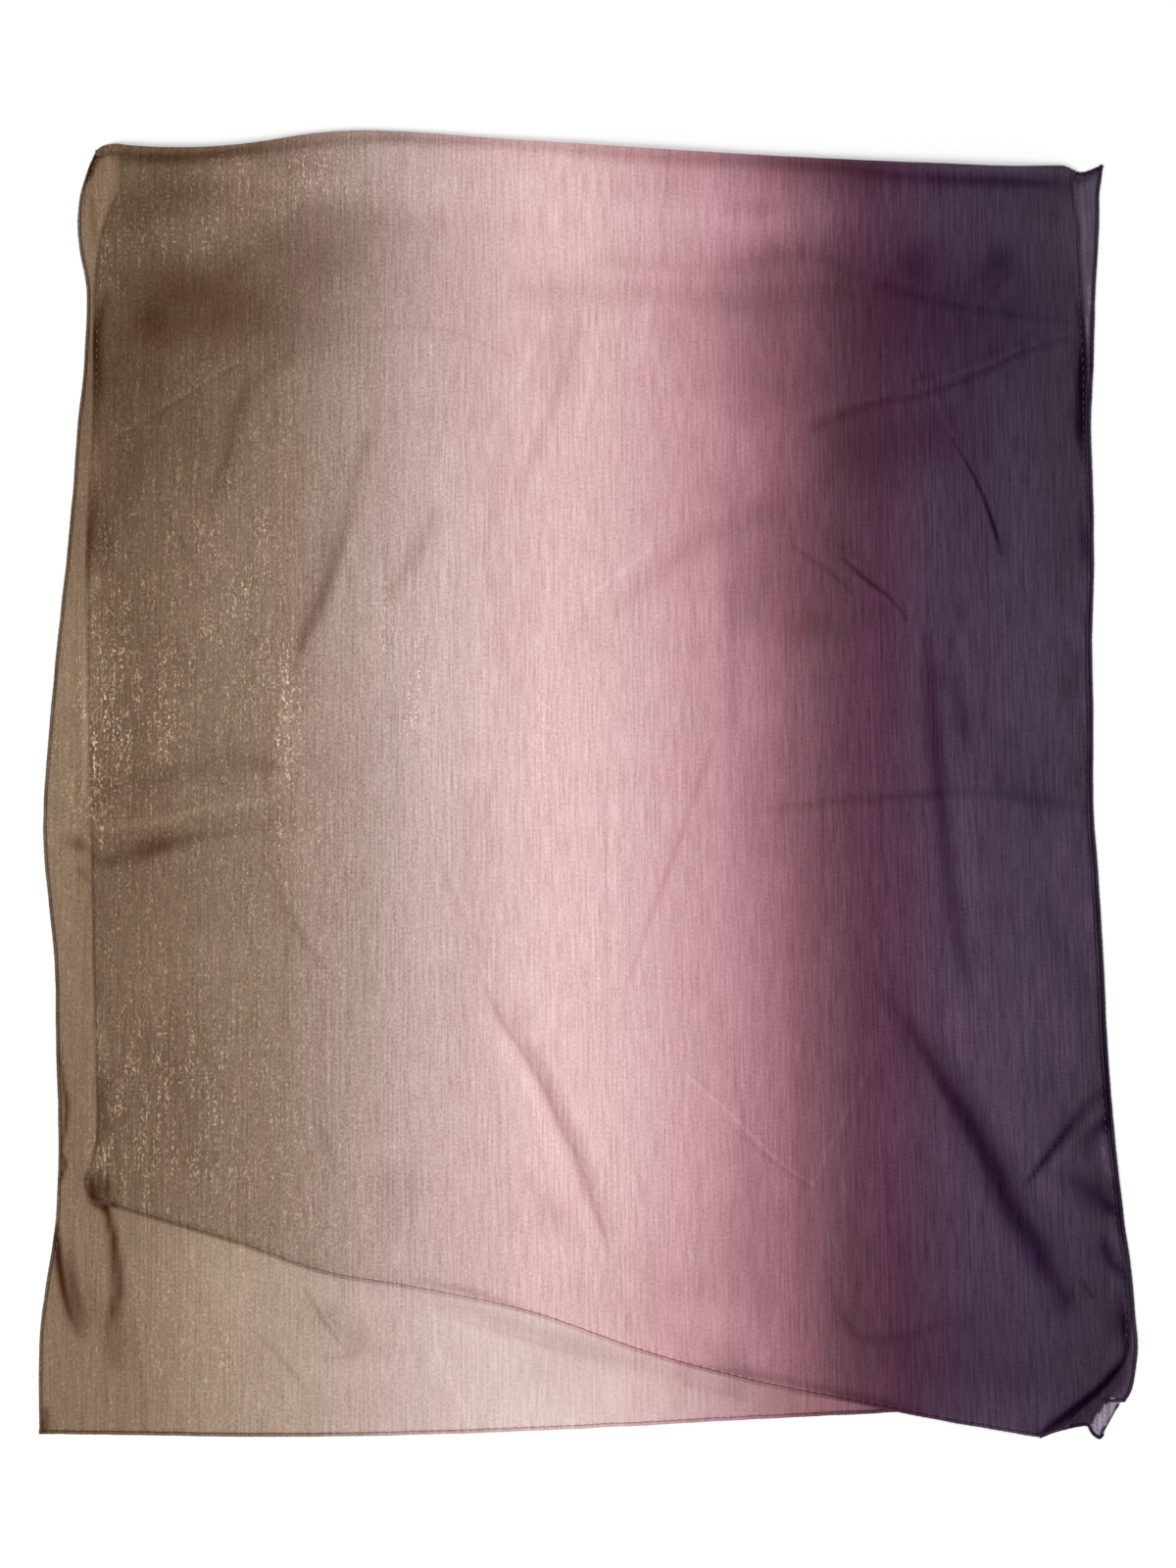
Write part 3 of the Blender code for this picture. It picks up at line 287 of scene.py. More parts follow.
# The lower layer's painted shade and painted light, as strokes in the same way.
LOWER_PAINTED_SHADE = [
    ("tuck_inner", [(-324, -284, 2.7, -0.50), (-321, -295, 2.7, -0.58), (-318, -307, 2.7, -0.55), (-316, -320, 2.7, -0.50), (-315, -332, 2.7, -0.47), (-315, -342, 2.7, -0.48), (-317, -353, 3.3, -0.40), (-319, -362, 4.0, -0.30), (-318, -374, 6.6, -0.20), (-313, -387, 7.3, -0.15)]),
    ("below_bunch", [(-335, -279, 2.0, -0.25), (-330, -283, 2.7, -0.42), (-324, -285, 2.7, -0.36)]),
    ("tuck_outer", [(-357, -297, 2.0, -0.40), (-356, -308, 2.7, -0.65), (-354, -321, 3.3, -0.66), (-352, -332, 3.5, -0.62), (-349, -345, 3.6, -0.52), (-345, -358, 4.0, -0.36), (-340, -369, 4.0, -0.18)]),
    ("tuck_soft", [(-350, -319, 3.3, -0.08), (-345, -332, 3.3, -0.20), (-342, -348, 4.0, -0.20), (-338, -362, 4.0, -0.10)]),
    ("edge_mark", [(-354, -248, 1.0, -0.30), (-352, -255, 1.6, -0.55), (-353, -262, 1.6, -0.50), (-355, -268, 1.3, -0.30)]),
    ("cross_below_two", [(-347, -57, 2.7, -0.08), (-343, -61, 3.3, -0.16), (-338, -65, 2.7, -0.10)]),
    ("cross_below", [(-355, -39, 3.3, -0.12), (-347, -41, 4.6, -0.26), (-340, -44, 3.3, -0.16)]),
    ("rim_low_below", [(345, -139, 2.0, -0.26), (348, -162, 2.0, -0.38), (349, -188, 2.0, -0.48), (350, -215, 2.3, -0.60), (352, -232, 2.0, -0.30)]),
    ("rim_lit_below", [(349, -232, 0.9, 0.30), (350, -247, 0.9, 0.50), (351, -267, 0.9, 0.30)]),
    ("rim_lit_top", [(346, 346, 0.9, 0.15), (346, 334, 1.0, 0.60), (344, 317, 1.1, 0.90), (344, 304, 1.0, 0.60), (345, 291, 0.9, 0.45), (345, 275, 0.9, 0.45)]),
    ("curl_under", [(321, -427, 2.7, 0.08), (329, -424, 3.3, 0.12), (336, -419, 2.7, 0.08)]),
    ("edge_turned", [(-357, -176, 1.3, -0.20), (-354, -198, 1.7, -0.36), (-351, -217, 2.0, -0.44), (-352, -232, 1.7, -0.44), (-354, -244, 1.3, -0.30)]),
    ("line", [(-303, -361, 1.0, -0.12), (-299, -393, 1.0, -0.15), (-295, -432, 1.0, -0.15)]),
    ("line_two", [(-268, -322, 2.0, -0.03), (-260, -341, 2.7, -0.06), (-252, -362, 2.7, -0.04), (-242, -385, 2.0, -0.02)]),
    ("corner", [(-362, -419, 2.7, -0.30), (-363, -432, 4.0, -0.42)]),
    ("strip_dark", [(-350, -159, 9.3, 0.01), (-348, -198, 9.3, -0.04), (-346, -228, 8.6, -0.04), (-344, -251, 8.0, -0.04), (-343, -273, 9.3, -0.03)]),
    ("strip_light", [(-356, 188, 9.3, -0.05), (-355, 134, 9.3, 0.04), (-356, 67, 9.3, 0.10), (-358, 13, 9.3, 0.08), (-356, -40, 9.3, 0.08), (-354, -93, 9.3, 0.07), (-352, -139, 8.0, 0.05)]),
    ("edge_glow_below", [(-343, 134, 2.0, 0.03), (-343, 100, 2.7, 0.14), (-342, 60, 2.9, 0.18), (-342, 13, 2.7, 0.13), (-341, -13, 2.0, 0.05)]),
    ("fringe_dark", [(-345, 13, 1.0, -0.05), (-347, -7, 1.0, -0.09), (-350, -30, 1.0, -0.07)]),
    ("fringe_three", [(-342, 7, 1.2, 0.05), (-345, -13, 1.2, 0.13), (-346, -32, 1.2, 0.08)]),
    ("fringe_two", [(-348, 20, 1.2, 0.05), (-351, -3, 1.2, 0.13), (-353, -30, 1.2, 0.10)]),
    ("fringe_one", [(-345, 73, 1.3, 0.04), (-343, 47, 1.3, 0.12), (-342, 20, 1.3, 0.05)]),
    ("strip_top", [(-347, 407, 4.0, 0.00), (-348, 379, 4.6, 0.05), (-343, 345, 5.3, 0.04), (-344, 311, 6.6, -0.10), (-345, 276, 6.6, -0.12), (-347, 225, 6.6, -0.05)]),
    ("patch_wedge", [(-346, 411, 2.0, -0.06), (-343, 403, 2.3, -0.14), (-342, 392, 2.3, -0.14), (-340, 378, 2.0, -0.08)]),
    ("patch_light", [(-331, 426, 6.0, 0.05), (-335, 410, 6.0, 0.06), (-338, 390, 4.0, 0.05)]),
    ("fold_tip_dark", [(-340, 437, 3.1, -0.65), (-343, 430, 2.7, -0.60), (-345, 423, 2.1, -0.70), (-347, 417, 1.5, -0.50)]),
    ("pinch", [(-330, 345, 2.7, -0.25), (-335, 331, 2.7, -0.35), (-337, 319, 2.7, -0.30)]),
    ("shape_one", [(-191, -347, 4.0, -0.04), (-170, -365, 5.3, -0.05), (-156, -378, 4.6, -0.04)]),
    ("shape_line_one", [(-224, -366, 1.3, -0.04), (-213, -377, 1.6, -0.09), (-203, -388, 1.6, -0.09), (-195, -397, 1.7, -0.07), (-186, -407, 1.7, -0.03)]),
    ("shape_line_two", [(-190, -338, 1.3, -0.04), (-185, -346, 1.6, -0.09), (-178, -358, 1.7, -0.12), (-172, -367, 1.6, -0.11), (-166, -374, 1.5, -0.09), (-159, -380, 1.3, -0.05)]),
    ("shape_left", [(-202, -353, 4.6, -0.02), (-193, -357, 5.3, -0.04), (-185, -361, 4.6, -0.03)]),
    ("shape_fill", [(-162, -365, 4.6, -0.03), (-152, -372, 5.3, -0.05)]),
    ("shape_base", [(-178, -384, 1.6, -0.05), (-167, -383, 1.7, -0.08), (-154, -382, 1.7, -0.08), (-143, -378, 1.6, -0.05), (-128, -374, 1.5, -0.03)]),
    ("shape_lit_two", [(-182, -345, 1.3, 0.02), (-176, -356, 1.5, 0.06), (-169, -366, 1.5, 0.07), (-162, -376, 1.3, 0.04)]),
    ("shape_light", [(-196, -390, 5.3, 0.03), (-157, -396, 5.3, 0.03), (-118, -387, 5.3, 0.02)]),
    ("light_line", [(-103, -343, 1.2, 0.03), (-102, -361, 1.2, 0.06), (-101, -376, 1.2, 0.09), (-96, -390, 1.2, 0.08), (-90, -403, 1.2, 0.07), (-82, -419, 1.2, 0.07), (-76, -430, 1.2, 0.05)]),
    ("under_hem", [(-105, -349, 4.6, -0.03), (-79, -354, 6.0, -0.06), (-52, -362, 6.6, -0.09), (-26, -370, 7.3, -0.10), (0, -378, 7.3, -0.09), (29, -387, 6.6, -0.07), (65, -396, 5.3, -0.04)]),
    ("under_hem_edge", [(-95, -357, 1.5, -0.02), (-77, -362, 1.6, -0.05), (-59, -367, 1.6, -0.06), (-26, -377, 1.6, -0.06), (0, -383, 1.6, -0.05), (14, -386, 1.5, -0.02)]),
    ("under_hem_two", [(65, -401, 2.7, -0.04), (105, -411, 2.7, -0.05)]),
    ("low_tone", [(-261, -419, 6.6, -0.02), (-222, -406, 8.0, 0.02), (-176, -416, 8.0, -0.02)]),
    ("right_top", [(340, 418, 3.3, -0.40), (347, 423, 4.0, -0.35), (355, 426, 3.3, -0.40)]),
    ("right_strip", [(345, 393, 4.0, 0.06), (345, 366, 4.0, 0.05), (345, 338, 3.3, -0.02), (346, 320, 2.7, -0.22), (345, 305, 2.7, -0.42), (346, 287, 2.7, -0.50), (345, 263, 2.0, -0.20)]),
    ("right_curl", [(361, -375, 4.0, -0.35), (359, -388, 5.3, -0.36), (353, -401, 6.6, -0.42), (345, -410, 5.3, -0.42)]),
]
# Soft pools of painted shade and painted light: name, x, y, rx, ry, angle, amount; below 0 darker, above 0 lighter.
UPPER_PAINTED_POOLS = [
    ("top_left_pool", -270, 336, 39, 28, -8, -0.13),
    ("top_left_high", -290, 408, 44, 20, 0, -0.22),
    ("top_left_side", -298, 297, 17, 33, 0, -0.09),
    ("top_left_end", -181, 364, 40, 20, 30, -0.12),
    ("rose_light_column", -107, 67, 24, 139, 0, 0.05),
    ("rose_light_left", -156, 107, 24, 73, 0, 0.05),
    ("rose_light_two", -94, 188, 13, 86, 0, 0.04),
    ("top_middle_column", -24, 307, 20, 40, 0, -0.06),
    ("top_right_band", 274, 407, 56, 12, 0, -0.08),
    ("right_cross_pool", 260, 21, 25, 27, 0, -0.08),
    ("left_low_pool", -276, -205, 30, 53, 0, -0.08),
    ("low_hem_pool", 102, -396, 16, 13, 0, -0.10),
    ("low_hem_side", 94, -383, 8, 11, 0, -0.06),
    ("low_pool_side", 118, -349, 9, 20, 0, -0.06),
    ("low_hem_lit", 112, -385, 7, 5, 0, 0.08),
    ("top_left_wide", -260, 328, 93, 29, -16, -0.17),
    ("top_left_column", -329, 294, 19, 37, 0, -0.12),
    ("top_right_dark", 255, 328, 65, 106, 0, -0.23),
    ("top_right_column", 253, 161, 32, 120, 0, -0.13),
    ("right_column_four", 275, 215, 19, 120, 0, -0.06),
    ("right_column_five", 274, -40, 15, 86, 0, -0.07),
    ("top_middle_dark", 111, 314, 30, 43, 0, -0.07),
    ("top_middle_wide", 27, 403, 73, 20, 0, -0.04),
    ("top_wide", 13, 270, 279, 166, 0, -0.03),
    ("low_wide", -26, -322, 239, 73, 0, -0.02),
    ("left_column", -315, 134, 33, 166, 0, -0.04),
    ("low_middle_dark", 33, -351, 93, 40, 15, -0.05),
    ("low_right_dark", 265, -393, 73, 43, 0, -0.16),
    ("low_right_wide", 256, -332, 56, 37, 0, -0.10),
    ("low_right_rim", 347, -358, 8, 15, 0, -0.10),
    ("low_column", 172, -345, 17, 60, 0, -0.08),
    ("low_glow", 204, -231, 15, 23, 0, 0.08),
    ("low_middle_column", 106, -303, 16, 73, 0, -0.10),
    ("low_middle_pool", 3, -296, 17, 27, 0, -0.02),
    ("low_middle_edge", 92, -387, 40, 23, 0, -0.10),
    ("low_left_dark", -325, -231, 16, 33, 0, -0.08),
    ("low_left_lit", -320, -322, 9, 27, 0, 0.00),
    ("right_glow_four", 334, -67, 17, 113, 0, 0.10),
    ("right_glow_five", 314, 73, 27, 46, 0, 0.05),
    ("left_field", -290, 270, 73, 53, 0, -0.07),
    ("left_field_two", -281, 249, 56, 66, 0, -0.06),
    ("top_left_field", -203, 352, 106, 40, 8, -0.05),
    ("top_left_mid", -182, 345, 73, 40, 0, -0.06),
    ("right_pool_one", 224, 361, 13, 13, 30, -0.21),
    ("right_pool_two", 283, 360, 12, 13, 20, -0.22),
    ("right_pool_three", 184, 353, 12, 8, 0, 0.00),
    ("right_pool_four", 211, 338, 41, 20, 0, -0.08),
    ("right_pool_five", 135, 280, 53, 27, 0, -0.08),
    ("right_pool_six", 108, 133, 17, 36, 0, -0.10),
    ("right_pool_seven", 242, 236, 28, 23, 0, -0.13),
    ("right_field", 260, 321, 73, 37, 0, -0.11),
    ("right_field_two", 188, 229, 40, 29, 15, -0.16),
    ("right_field_three", 144, 144, 39, 46, 0, -0.09),
    ("right_pool_low", 155, 107, 23, 15, 0, -0.10),
    ("right_light", 135, 390, 60, 19, 0, 0.05),
    ("right_top_light", 157, 403, 40, 16, 0, 0.06),
    ("right_light_two", 146, 222, 9, 27, -10, 0.06),
    ("right_light_three", 332, 383, 9, 33, 0, 0.10),
    ("right_light_four", 235, 215, 11, 27, 0, 0.05),
    ("top_middle_pool", 115, 338, 33, 27, 0, -0.07),
    ("cross_pool", 297, -5, 17, 20, 0, -0.10),
    ("right_glow", 321, 107, 17, 27, 0, 0.07),
    ("right_glow_two", 304, -152, 33, 40, 0, 0.11),
    ("right_glow_six", 327, -187, 15, 31, 0, 0.12),
    ("right_glow_seven", 338, -100, 7, 40, 0, 0.12),
    ("right_glow_eight", 305, -67, 11, 17, 0, 0.08),
    ("right_upper_light", 323, 43, 23, 23, 0, 0.06),
    ("right_rim_light", 341, 133, 7, 19, 0, 0.12),
    ("rim_pool_six", -111, 448, 20, 5, 0, 0.07),
    ("rim_pool_five", 223, 418, 11, 8, 0, 0.06),
    ("rim_pool_four", 234, 328, 9, 9, 0, 0.06),
    ("rim_pool_three", 270, 328, 9, 8, 0, 0.06),
    ("rim_pool_two", 334, 398, 8, 8, 0, 0.07),
    ("rim_pool_one", 340, 86, 5, 12, 0, 0.07),
    ("right_glow_three", 329, -53, 15, 46, 0, 0.06),
    ("slate_left", 202, -67, 20, 106, 0, 0.04),
    ("slate_edge", 206, -211, 12, 146, 0, 0.05),
    ("big_right_of", 259, -202, 24, 33, 0, -0.06),
    ("mid_light", 98, -374, 33, 27, 0, 0.05),
    ("left_bright", -281, 120, 73, 73, 0, 0.04),
    ("left_low", -265, -106, 73, 66, 0, -0.02),
    ("left_three", -192, -67, 12, 73, 0, 0.04),
    ("taupe_low", -271, -119, 73, 40, 0, 0.06),
    ("top_fourteen", 270, 348, 11, 9, 0, -0.05),
    ("left_eleven", -335, -12, 5, 6, 0, -0.12),
    ("top_eighteen", 202, 307, 24, 20, 0, -0.04),
    ("top_seventeen", 283, 299, 15, 8, 20, -0.05),
    ("top_sixteen", 300, 330, 15, 11, 0, -0.05),
    ("top_fifteen", 305, 389, 13, 15, 0, -0.06),
    ("top_thirteen", 143, 372, 12, 9, 0, 0.04),
    ("low_eight", -190, -329, 12, 11, 0, -0.04),
    ("low_seven", 240, -280, 15, 27, 0, -0.06),
    ("left_ten", -197, 37, 12, 16, 0, 0.05),
    ("left_nine", -325, 35, 8, 8, 0, -0.05),
    ("left_eight", -328, 100, 8, 9, 0, 0.05),
    ("left_seven", -333, 166, 7, 16, 0, -0.10),
    ("tl_seven", -295, 408, 13, 9, 0, 0.05),
    ("tl_six", -298, 372, 9, 9, 0, -0.06),
    ("tl_five", -330, 339, 9, 12, 0, 0.08),
    ("low_six", 316, -351, 12, 10, 0, -0.16),
    ("low_five", 198, -383, 11, 11, 0, 0.05),
    ("low_four", 172, -356, 12, 13, 0, -0.04),
    ("low_three", 252, -361, 27, 12, 0, -0.06),
    ("low_two", -26, -290, 15, 13, 0, -0.04),
    ("low_one", -125, -271, 13, 17, 0, -0.06),
    ("side_three", 332, 100, 6, 12, 0, 0.10),
    ("side_two", 339, 53, 5, 9, 0, 0.14),
    ("side_one", 293, 33, 8, 11, 0, -0.07),
    ("top_twelve", 91, 203, 15, 16, 30, -0.06),
    ("top_eleven", 260, 234, 7, 15, 0, 0.11),
    ("top_ten", 230, 279, 12, 6, 20, -0.08),
    ("top_nine", 108, 255, 13, 11, 0, -0.04),
    ("top_eight", 131, 290, 11, 13, 0, 0.05),
    ("top_seven", 58, 312, 11, 16, 0, -0.06),
    ("top_six", 196, 375, 8, 9, 0, 0.10),
    ("top_five", 193, 348, 7, 7, 0, 0.18),
    ("top_four", 166, 311, 11, 13, 0, -0.06),
    ("top_three", 165, 339, 9, 11, 0, -0.09),
    ("top_two", 152, 360, 9, 5, 0, 0.06),
    ("top_one", 114, 396, 24, 7, 0, -0.12),
    ("left_six", -260, -251, 13, 12, 0, -0.09),
    ("left_five", -320, 37, 7, 8, 0, -0.06),
    ("left_four", -293, 20, 11, 11, 0, 0.06),
    ("left_two", -327, 73, 8, 12, 0, 0.06),
    ("left_one", -277, 80, 11, 9, 0, -0.08),
    ("tl_four", -243, 280, 7, 9, 0, -0.09),
    ("tl_three", -262, 294, 8, 9, 0, -0.07),
    ("tl_light_two", -273, 326, 23, 8, 8, 0.06),
    ("tl_light", -319, 417, 12, 9, 0, 0.10),
    ("tl_two", -302, 316, 16, 15, 30, -0.13),
    ("tl_one", -315, 386, 15, 11, 0, -0.14),
]
# The same pools of painted shade and painted light on the lower layer.
LOWER_PAINTED_POOLS = [
    ("left_low_dark", -335, -406, 32, 40, 0, 0.00),
    ("inner_light", -256, -335, 53, 37, -15, 0.05),
    ("low_by_hem", 69, -396, 11, 8, 0, -0.05),
    ("low_field", -26, -393, 33, 20, 0, -0.04),
    ("scoop_side", 97, -403, 11, 7, 0, -0.08),
    ("shape_pool_lit", -145, -349, 13, 8, 0, 0.04),
    ("shape_pool", -172, -356, 9, 8, 0, -0.06),
    ("tuck_between", -329, -349, 9, 17, 15, -0.08),
    ("scoop_light", 183, -415, 33, 8, 0, 0.10),
    ("strip_pool", -366, -33, 6, 16, 0, 0.07),
]
# Patches where painted glints of the metallic threads gather, where the cloth catches the light: name, x, y, rx, ry,
# angle, amount.
PAINTED_GLINT_PATCHES = [
    ("a", -328, 57, 17, 73, 0, 0.95),
    ("b", -288, 47, 13, 37, 0, 0.90),
    ("c", -205, 43, 8, 41, 0, 1.30),
    ("d", -241, 107, 40, 80, 0, 0.35),
    ("e", -138, 114, 6, 23, 0, 0.80),
    ("f", -117, 60, 8, 37, 0, 0.90),
    ("g", -31, 27, 8, 40, 0, 0.60),
    ("h", -330, -248, 8, 12, 0, 0.90),
    ("i", -271, 390, 53, 27, 0, 0.22),
    ("m", -277, -211, 60, 60, 0, 0.35),
    ("n", -360, 53, 9, 80, 0, 0.40),
    ("r", -343, 50, 5, 37, 0, 1.00),
    ("s", -349, -10, 8, 20, 0, 1.10),
    ("t", -334, 0, 7, 33, 0, 0.80),
    ("o", -268, -380, 60, 46, 0, 0.30),
    ("p", -190, 421, 20, 13, 0, 0.60),
    ("q", -199, -33, 40, 40, 0, 0.20),
]

# Fine creases pressed along some of the strokes: troughs (-) and ridges (+), in millimetres.
UPPER_PRESSED = {
    "left_scratch": 0.45, "left_scratch_two": -0.5, "cross_left_dark": -0.9, "left_slant": -0.8, "low_left_mark": -0.4,
    "middle_long": -0.5, "middle_seam_line": -0.3, "middle_down": -0.6, "vee": 0.45, "vee_two": 0.45, "hook": -0.7,
    "branch": -1.2, "branch_lit": 1.4, "cross_right": -0.8, "upright_two": -0.8, "upright_three": -0.7,
    "upright_four": -0.7, "crease_ur": -0.7, "crease_ur_lit": 0.4, "small_arc": 0.4, "thin_top": -0.4,
    "thin_one": -0.7, "thin_one_lit": 0.4, "thin_two": -0.8, "thin_two_soft": -0.6, "packing_line": -0.35,
    "crest_line": -0.35, "crest_line_two": -0.35, "right_blob": -0.3, "right_blob_two": -0.6, "right_blob_lit": 1.0,
    "middle_top_lit": 0.5, "middle_top_two": 0.5, "swath_lit": 0.5, "fan_one": 0.4, "fan_two": -0.4, "fan_three": 0.35,
    "fan_four": 0.45, "left_band_two": -0.8, "left_corner": 1.4, "curl": -0.9, "low_right_fleck": -0.5,
    "left_rim": -0.6, "right_rim": -0.7, "left_edge_line": -0.3,
}
LOWER_PRESSED = {
    "line": -0.12, "shape_line_one": 0.3, "shape_line_two": 0.3, "light_line": 0.3, "shape_one": 0.5, "under_hem": 0.4,
}

# The dye across the cloth, from its left edge (0) to its right edge (1), in the
# strength that it has under white light.
DYE = [
    (0.026, 118, 95, 75), (0.113, 133, 111, 92), (0.209, 156, 132, 118), (0.305, 190, 165, 158),
    (0.401, 212, 180, 178), (0.460, 225, 190, 189), (0.530, 220, 182, 184), (0.593, 203, 158, 165),
    (0.641, 185, 138, 148), (0.689, 151, 103, 114), (0.737, 112, 76, 88), (0.785, 87, 54, 72),
    (0.833, 84, 60, 80), (0.900, 78, 62, 82), (0.977, 64, 52, 68),
]
# The same where one layer lies alone on the surface, which shows pale through it.
DYE_SINGLE = [
    (0.0, 139, 114, 93), (0.06, 144, 119, 98), (0.12, 161, 139, 118), (0.21, 181, 158, 143), (0.31, 200, 175, 168),
    (0.41, 217, 194, 188), (0.46, 219, 195, 191), (0.53, 214, 186, 184), (0.60, 199, 163, 165),
    (0.65, 176, 136, 141), (0.69, 154, 111, 115), (0.75, 125, 86, 98), (0.80, 104, 72, 89), (0.88, 90, 74, 93),
    (0.98, 84, 73, 88),
]
LIGHT_ON_CLOTH, SURFACE_SHINE = 1.12, 0.012  # how much light the lamps below put on flat cloth


# --------------------------------------------------------------- curves
def smooth_line(points, step):
    """Points about step apart on a smooth curve through these, which it passes."""
    p = np.array(points, float)
    p = np.vstack([2 * p[0] - p[1], p, 2 * p[-1] - p[-2]])
    out = []
    for i in range(1, len(p) - 2):
        a, b, c, d = p[i - 1 : i + 3]
        count = max(1, round(np.linalg.norm((c - b)[:2]) / step))
        for k in range(count):
            t = k / count
            out.append(
                0.5 * (2 * b + (c - a) * t + (2 * a - 5 * b + 4 * c - d) * t**2 + (3 * b - a - 3 * c + d) * t**3)
            )
    out.append(p[-2])
    return np.array(out)


def moved_in(line, distance):
    """An open line moved sideways to its left, with mitred corners."""
    ahead = np.diff(line[:, :2], axis=0)
    ahead /= np.linalg.norm(ahead, axis=1)[:, None]
    left = np.column_stack([-ahead[:, 1], ahead[:, 0]])
    before, after = np.vstack([left[:1], left]), np.vstack([left, left[-1:]])
    mean = before + after
    mean /= np.linalg.norm(mean, axis=1)[:, None]
    out = line.copy()
    out[:, :2] += mean * (distance / np.maximum((mean * after).sum(axis=1), 0.5))[:, None]
    return out


FOLD_POINTS = smooth_line([row[:2] for row in FOLD_LINE], 4)
LEFT_TIP = FOLD_LINE[0][0]


def fold_y(x):
    return np.interp(x, FOLD_POINTS[:, 0], FOLD_POINTS[:, 1])


def crown(x):
    return np.interp(x, [row[0] for row in FOLD_LINE], [row[2] for row in FOLD_LINE])


def seam_y(x):
    """Where the bend ends and a layer starts."""
    return fold_y(x) - np.interp(x, [row[0] for row in FOLD_LINE], [row[3] for row in FOLD_LINE])


def strokes_of(table):
    """Each stroke as samples of (x, y, half width, amount) along a smooth line."""
    return {name: smooth_line(rows, 1.6) for name, rows in table}


UPPER_STROKES, LOWER_STROKES = strokes_of(UPPER_PAINTED_SHADE), strokes_of(LOWER_PAINTED_SHADE)


def near(line, x, y, reach):
    """Which points are within reach of this line: their numbers, the nearest sample and the distance."""
    low, high = line[:, :2].min(axis=0) - reach, line[:, :2].max(axis=0) + reach
    which = np.flatnonzero((x > low[0]) & (x < high[0]) & (y > low[1]) & (y < high[1]))
    if not len(which):
        return which, which, np.zeros(0)
    index, distance = [], []
    for part in np.array_split(which, max(1, len(which) // 4000)):
        d = np.hypot(x[part, None] - line[None, :, 0], y[part, None] - line[None, :, 1])
        k = d.argmin(axis=1)
        index.append(k)
        distance.append(d[np.arange(len(part)), k])
    index, distance = np.concatenate(index), np.concatenate(distance)
    keep = distance < reach
    return which[keep], index[keep], distance[keep]


# --------------------------------------------------------------- heights
def rise_of(folds, x, y):
    """Height of the main creases at (x, y)."""
    total = np.zeros(np.shape(x))
    for _, x0, y0, x1, y1, bow, half, rise in folds:
        length = math.hypot(x1 - x0, y1 - y0)
        dx, dy = (x1 - x0) / length, (y1 - y0) / length
        along = ((x - x0) * dx + (y - y0) * dy) / length
        across = -(x - x0) * dy + (y - y0) * dx - 4 * bow * along * (1 - along)
        flat = np.clip(1 - (across / half) ** 2, 0, 1) ** 2
        ends = np.clip(np.minimum(along, 1 - along) / 0.3, 0, 1)
        total = total + rise * flat * ends**2 * (3 - 2 * ends)
    return total


def pressed(strokes, heights, x, y):
    total = np.zeros(len(x))
    for name, rise in heights.items():
        line = strokes[name]
        which, k, d = near(line, x, y, 2.6 * line[:, 2].max())
        total[which] += rise * np.exp(-((d / line[k, 2]) ** 2))
    return total


def ripples(x, y, seed, size):
    """Gentle unevenness, longer down the cloth than across it."""
    out = np.empty(len(x))
    for i, (a, b) in enumerate(zip(x, y)):
        out[i] = (
            noise.noise(Vector((a / 58 + seed, b / 120, seed)))
            + 0.42 * noise.noise(Vector((a / 23, b / 64 + seed, seed + 7)))
            + 0.2 * noise.noise(Vector((a / 9 + seed, b / 22, seed + 15)))
        )
    return out * size


UPPER_END_LINE = smooth_line(UPPER_END, 3)
UPPER_LEFT_LINE = smooth_line(UPPER_LEFT, 3)


def upper_z(x, y):
    """Middle of the upper layer's cloth."""
    away = np.maximum(seam_y(x) - y, 0)
    roll = (crown(x) - 2.7) * np.exp(-((away / 62.0) ** 2))
    z = 1.5 + np.maximum(roll, 0) + rise_of(UPPER_FOLDS, x, y) + UPPER_RISE
    calm = np.clip(away / 24, 0, 1)
    z = z + calm * (pressed(UPPER_STROKES, UPPER_PRESSED, x, y) + ripples(x, y, 3.0, 0.55))
    # Its free edges sink towards the layer below.
    from_end = np.maximum(y - np.interp(x, UPPER_END_LINE[:, 0], UPPER_END_LINE[:, 1]), 0)
    from_left = np.maximum(x - np.interp(-y, -UPPER_LEFT_LINE[:, 1], UPPER_LEFT_LINE[:, 0]), 0)
    z = z - 0.75 * calm * np.exp(-((np.minimum(from_end, from_left) / 5.5) ** 2))
    return np.maximum(z, 1.2)


def lower_z(x, y):
    """Middle of the lower layer's cloth, which is flat where the upper layer lies on it."""
    z = rise_of(LOWER_FOLDS, x, y) + LOWER_Z + pressed(LOWER_STROKES, LOWER_PRESSED, x, y)
    z = z + 0.3 * np.clip((y - seam_y(x) + 4) / 4, 0, 1) * (x < -310)
    shows = np.clip((seen_below(x, y) + 4) / 14, 0, 1)
    z = z + shows * np.maximum(ripples(x, y, 11.0, 0.5) + 0.18, 0)
    return np.maximum(z, LOWER_Z - 0.05)


def seen_below(x, y):
    """How far (x, y) is beyond the upper layer's near end, or 0 where it is under that layer."""
    end = np.interp(x, UPPER_END_LINE[:, 0], UPPER_END_LINE[:, 1])
    return np.where(y < end, end - y, -8.0)


def bend_shape(x):
    """At x: the seam, the straight run, the half ellipse's reach and length, its middle and half height."""
    far, seam, high = fold_y(x), seam_y(x), crown(x)
    top = upper_z_at_seam(x)
    reach = np.minimum(far - seam - 1.5, high * 0.95)
    half = (top - LOWER_Z) / 2
    return seam, far - seam - reach, reach, math.pi * np.sqrt((reach**2 + half**2) / 2), (top + LOWER_Z) / 2, half


def upper_z_at_seam(x):
    return 1.5 + np.maximum(crown(x) - 2.7, 0) + UPPER_RISE


def bend_length(x):
    _, run, _, arc, _, _ = bend_shape(x)
    return 2 * run + arc


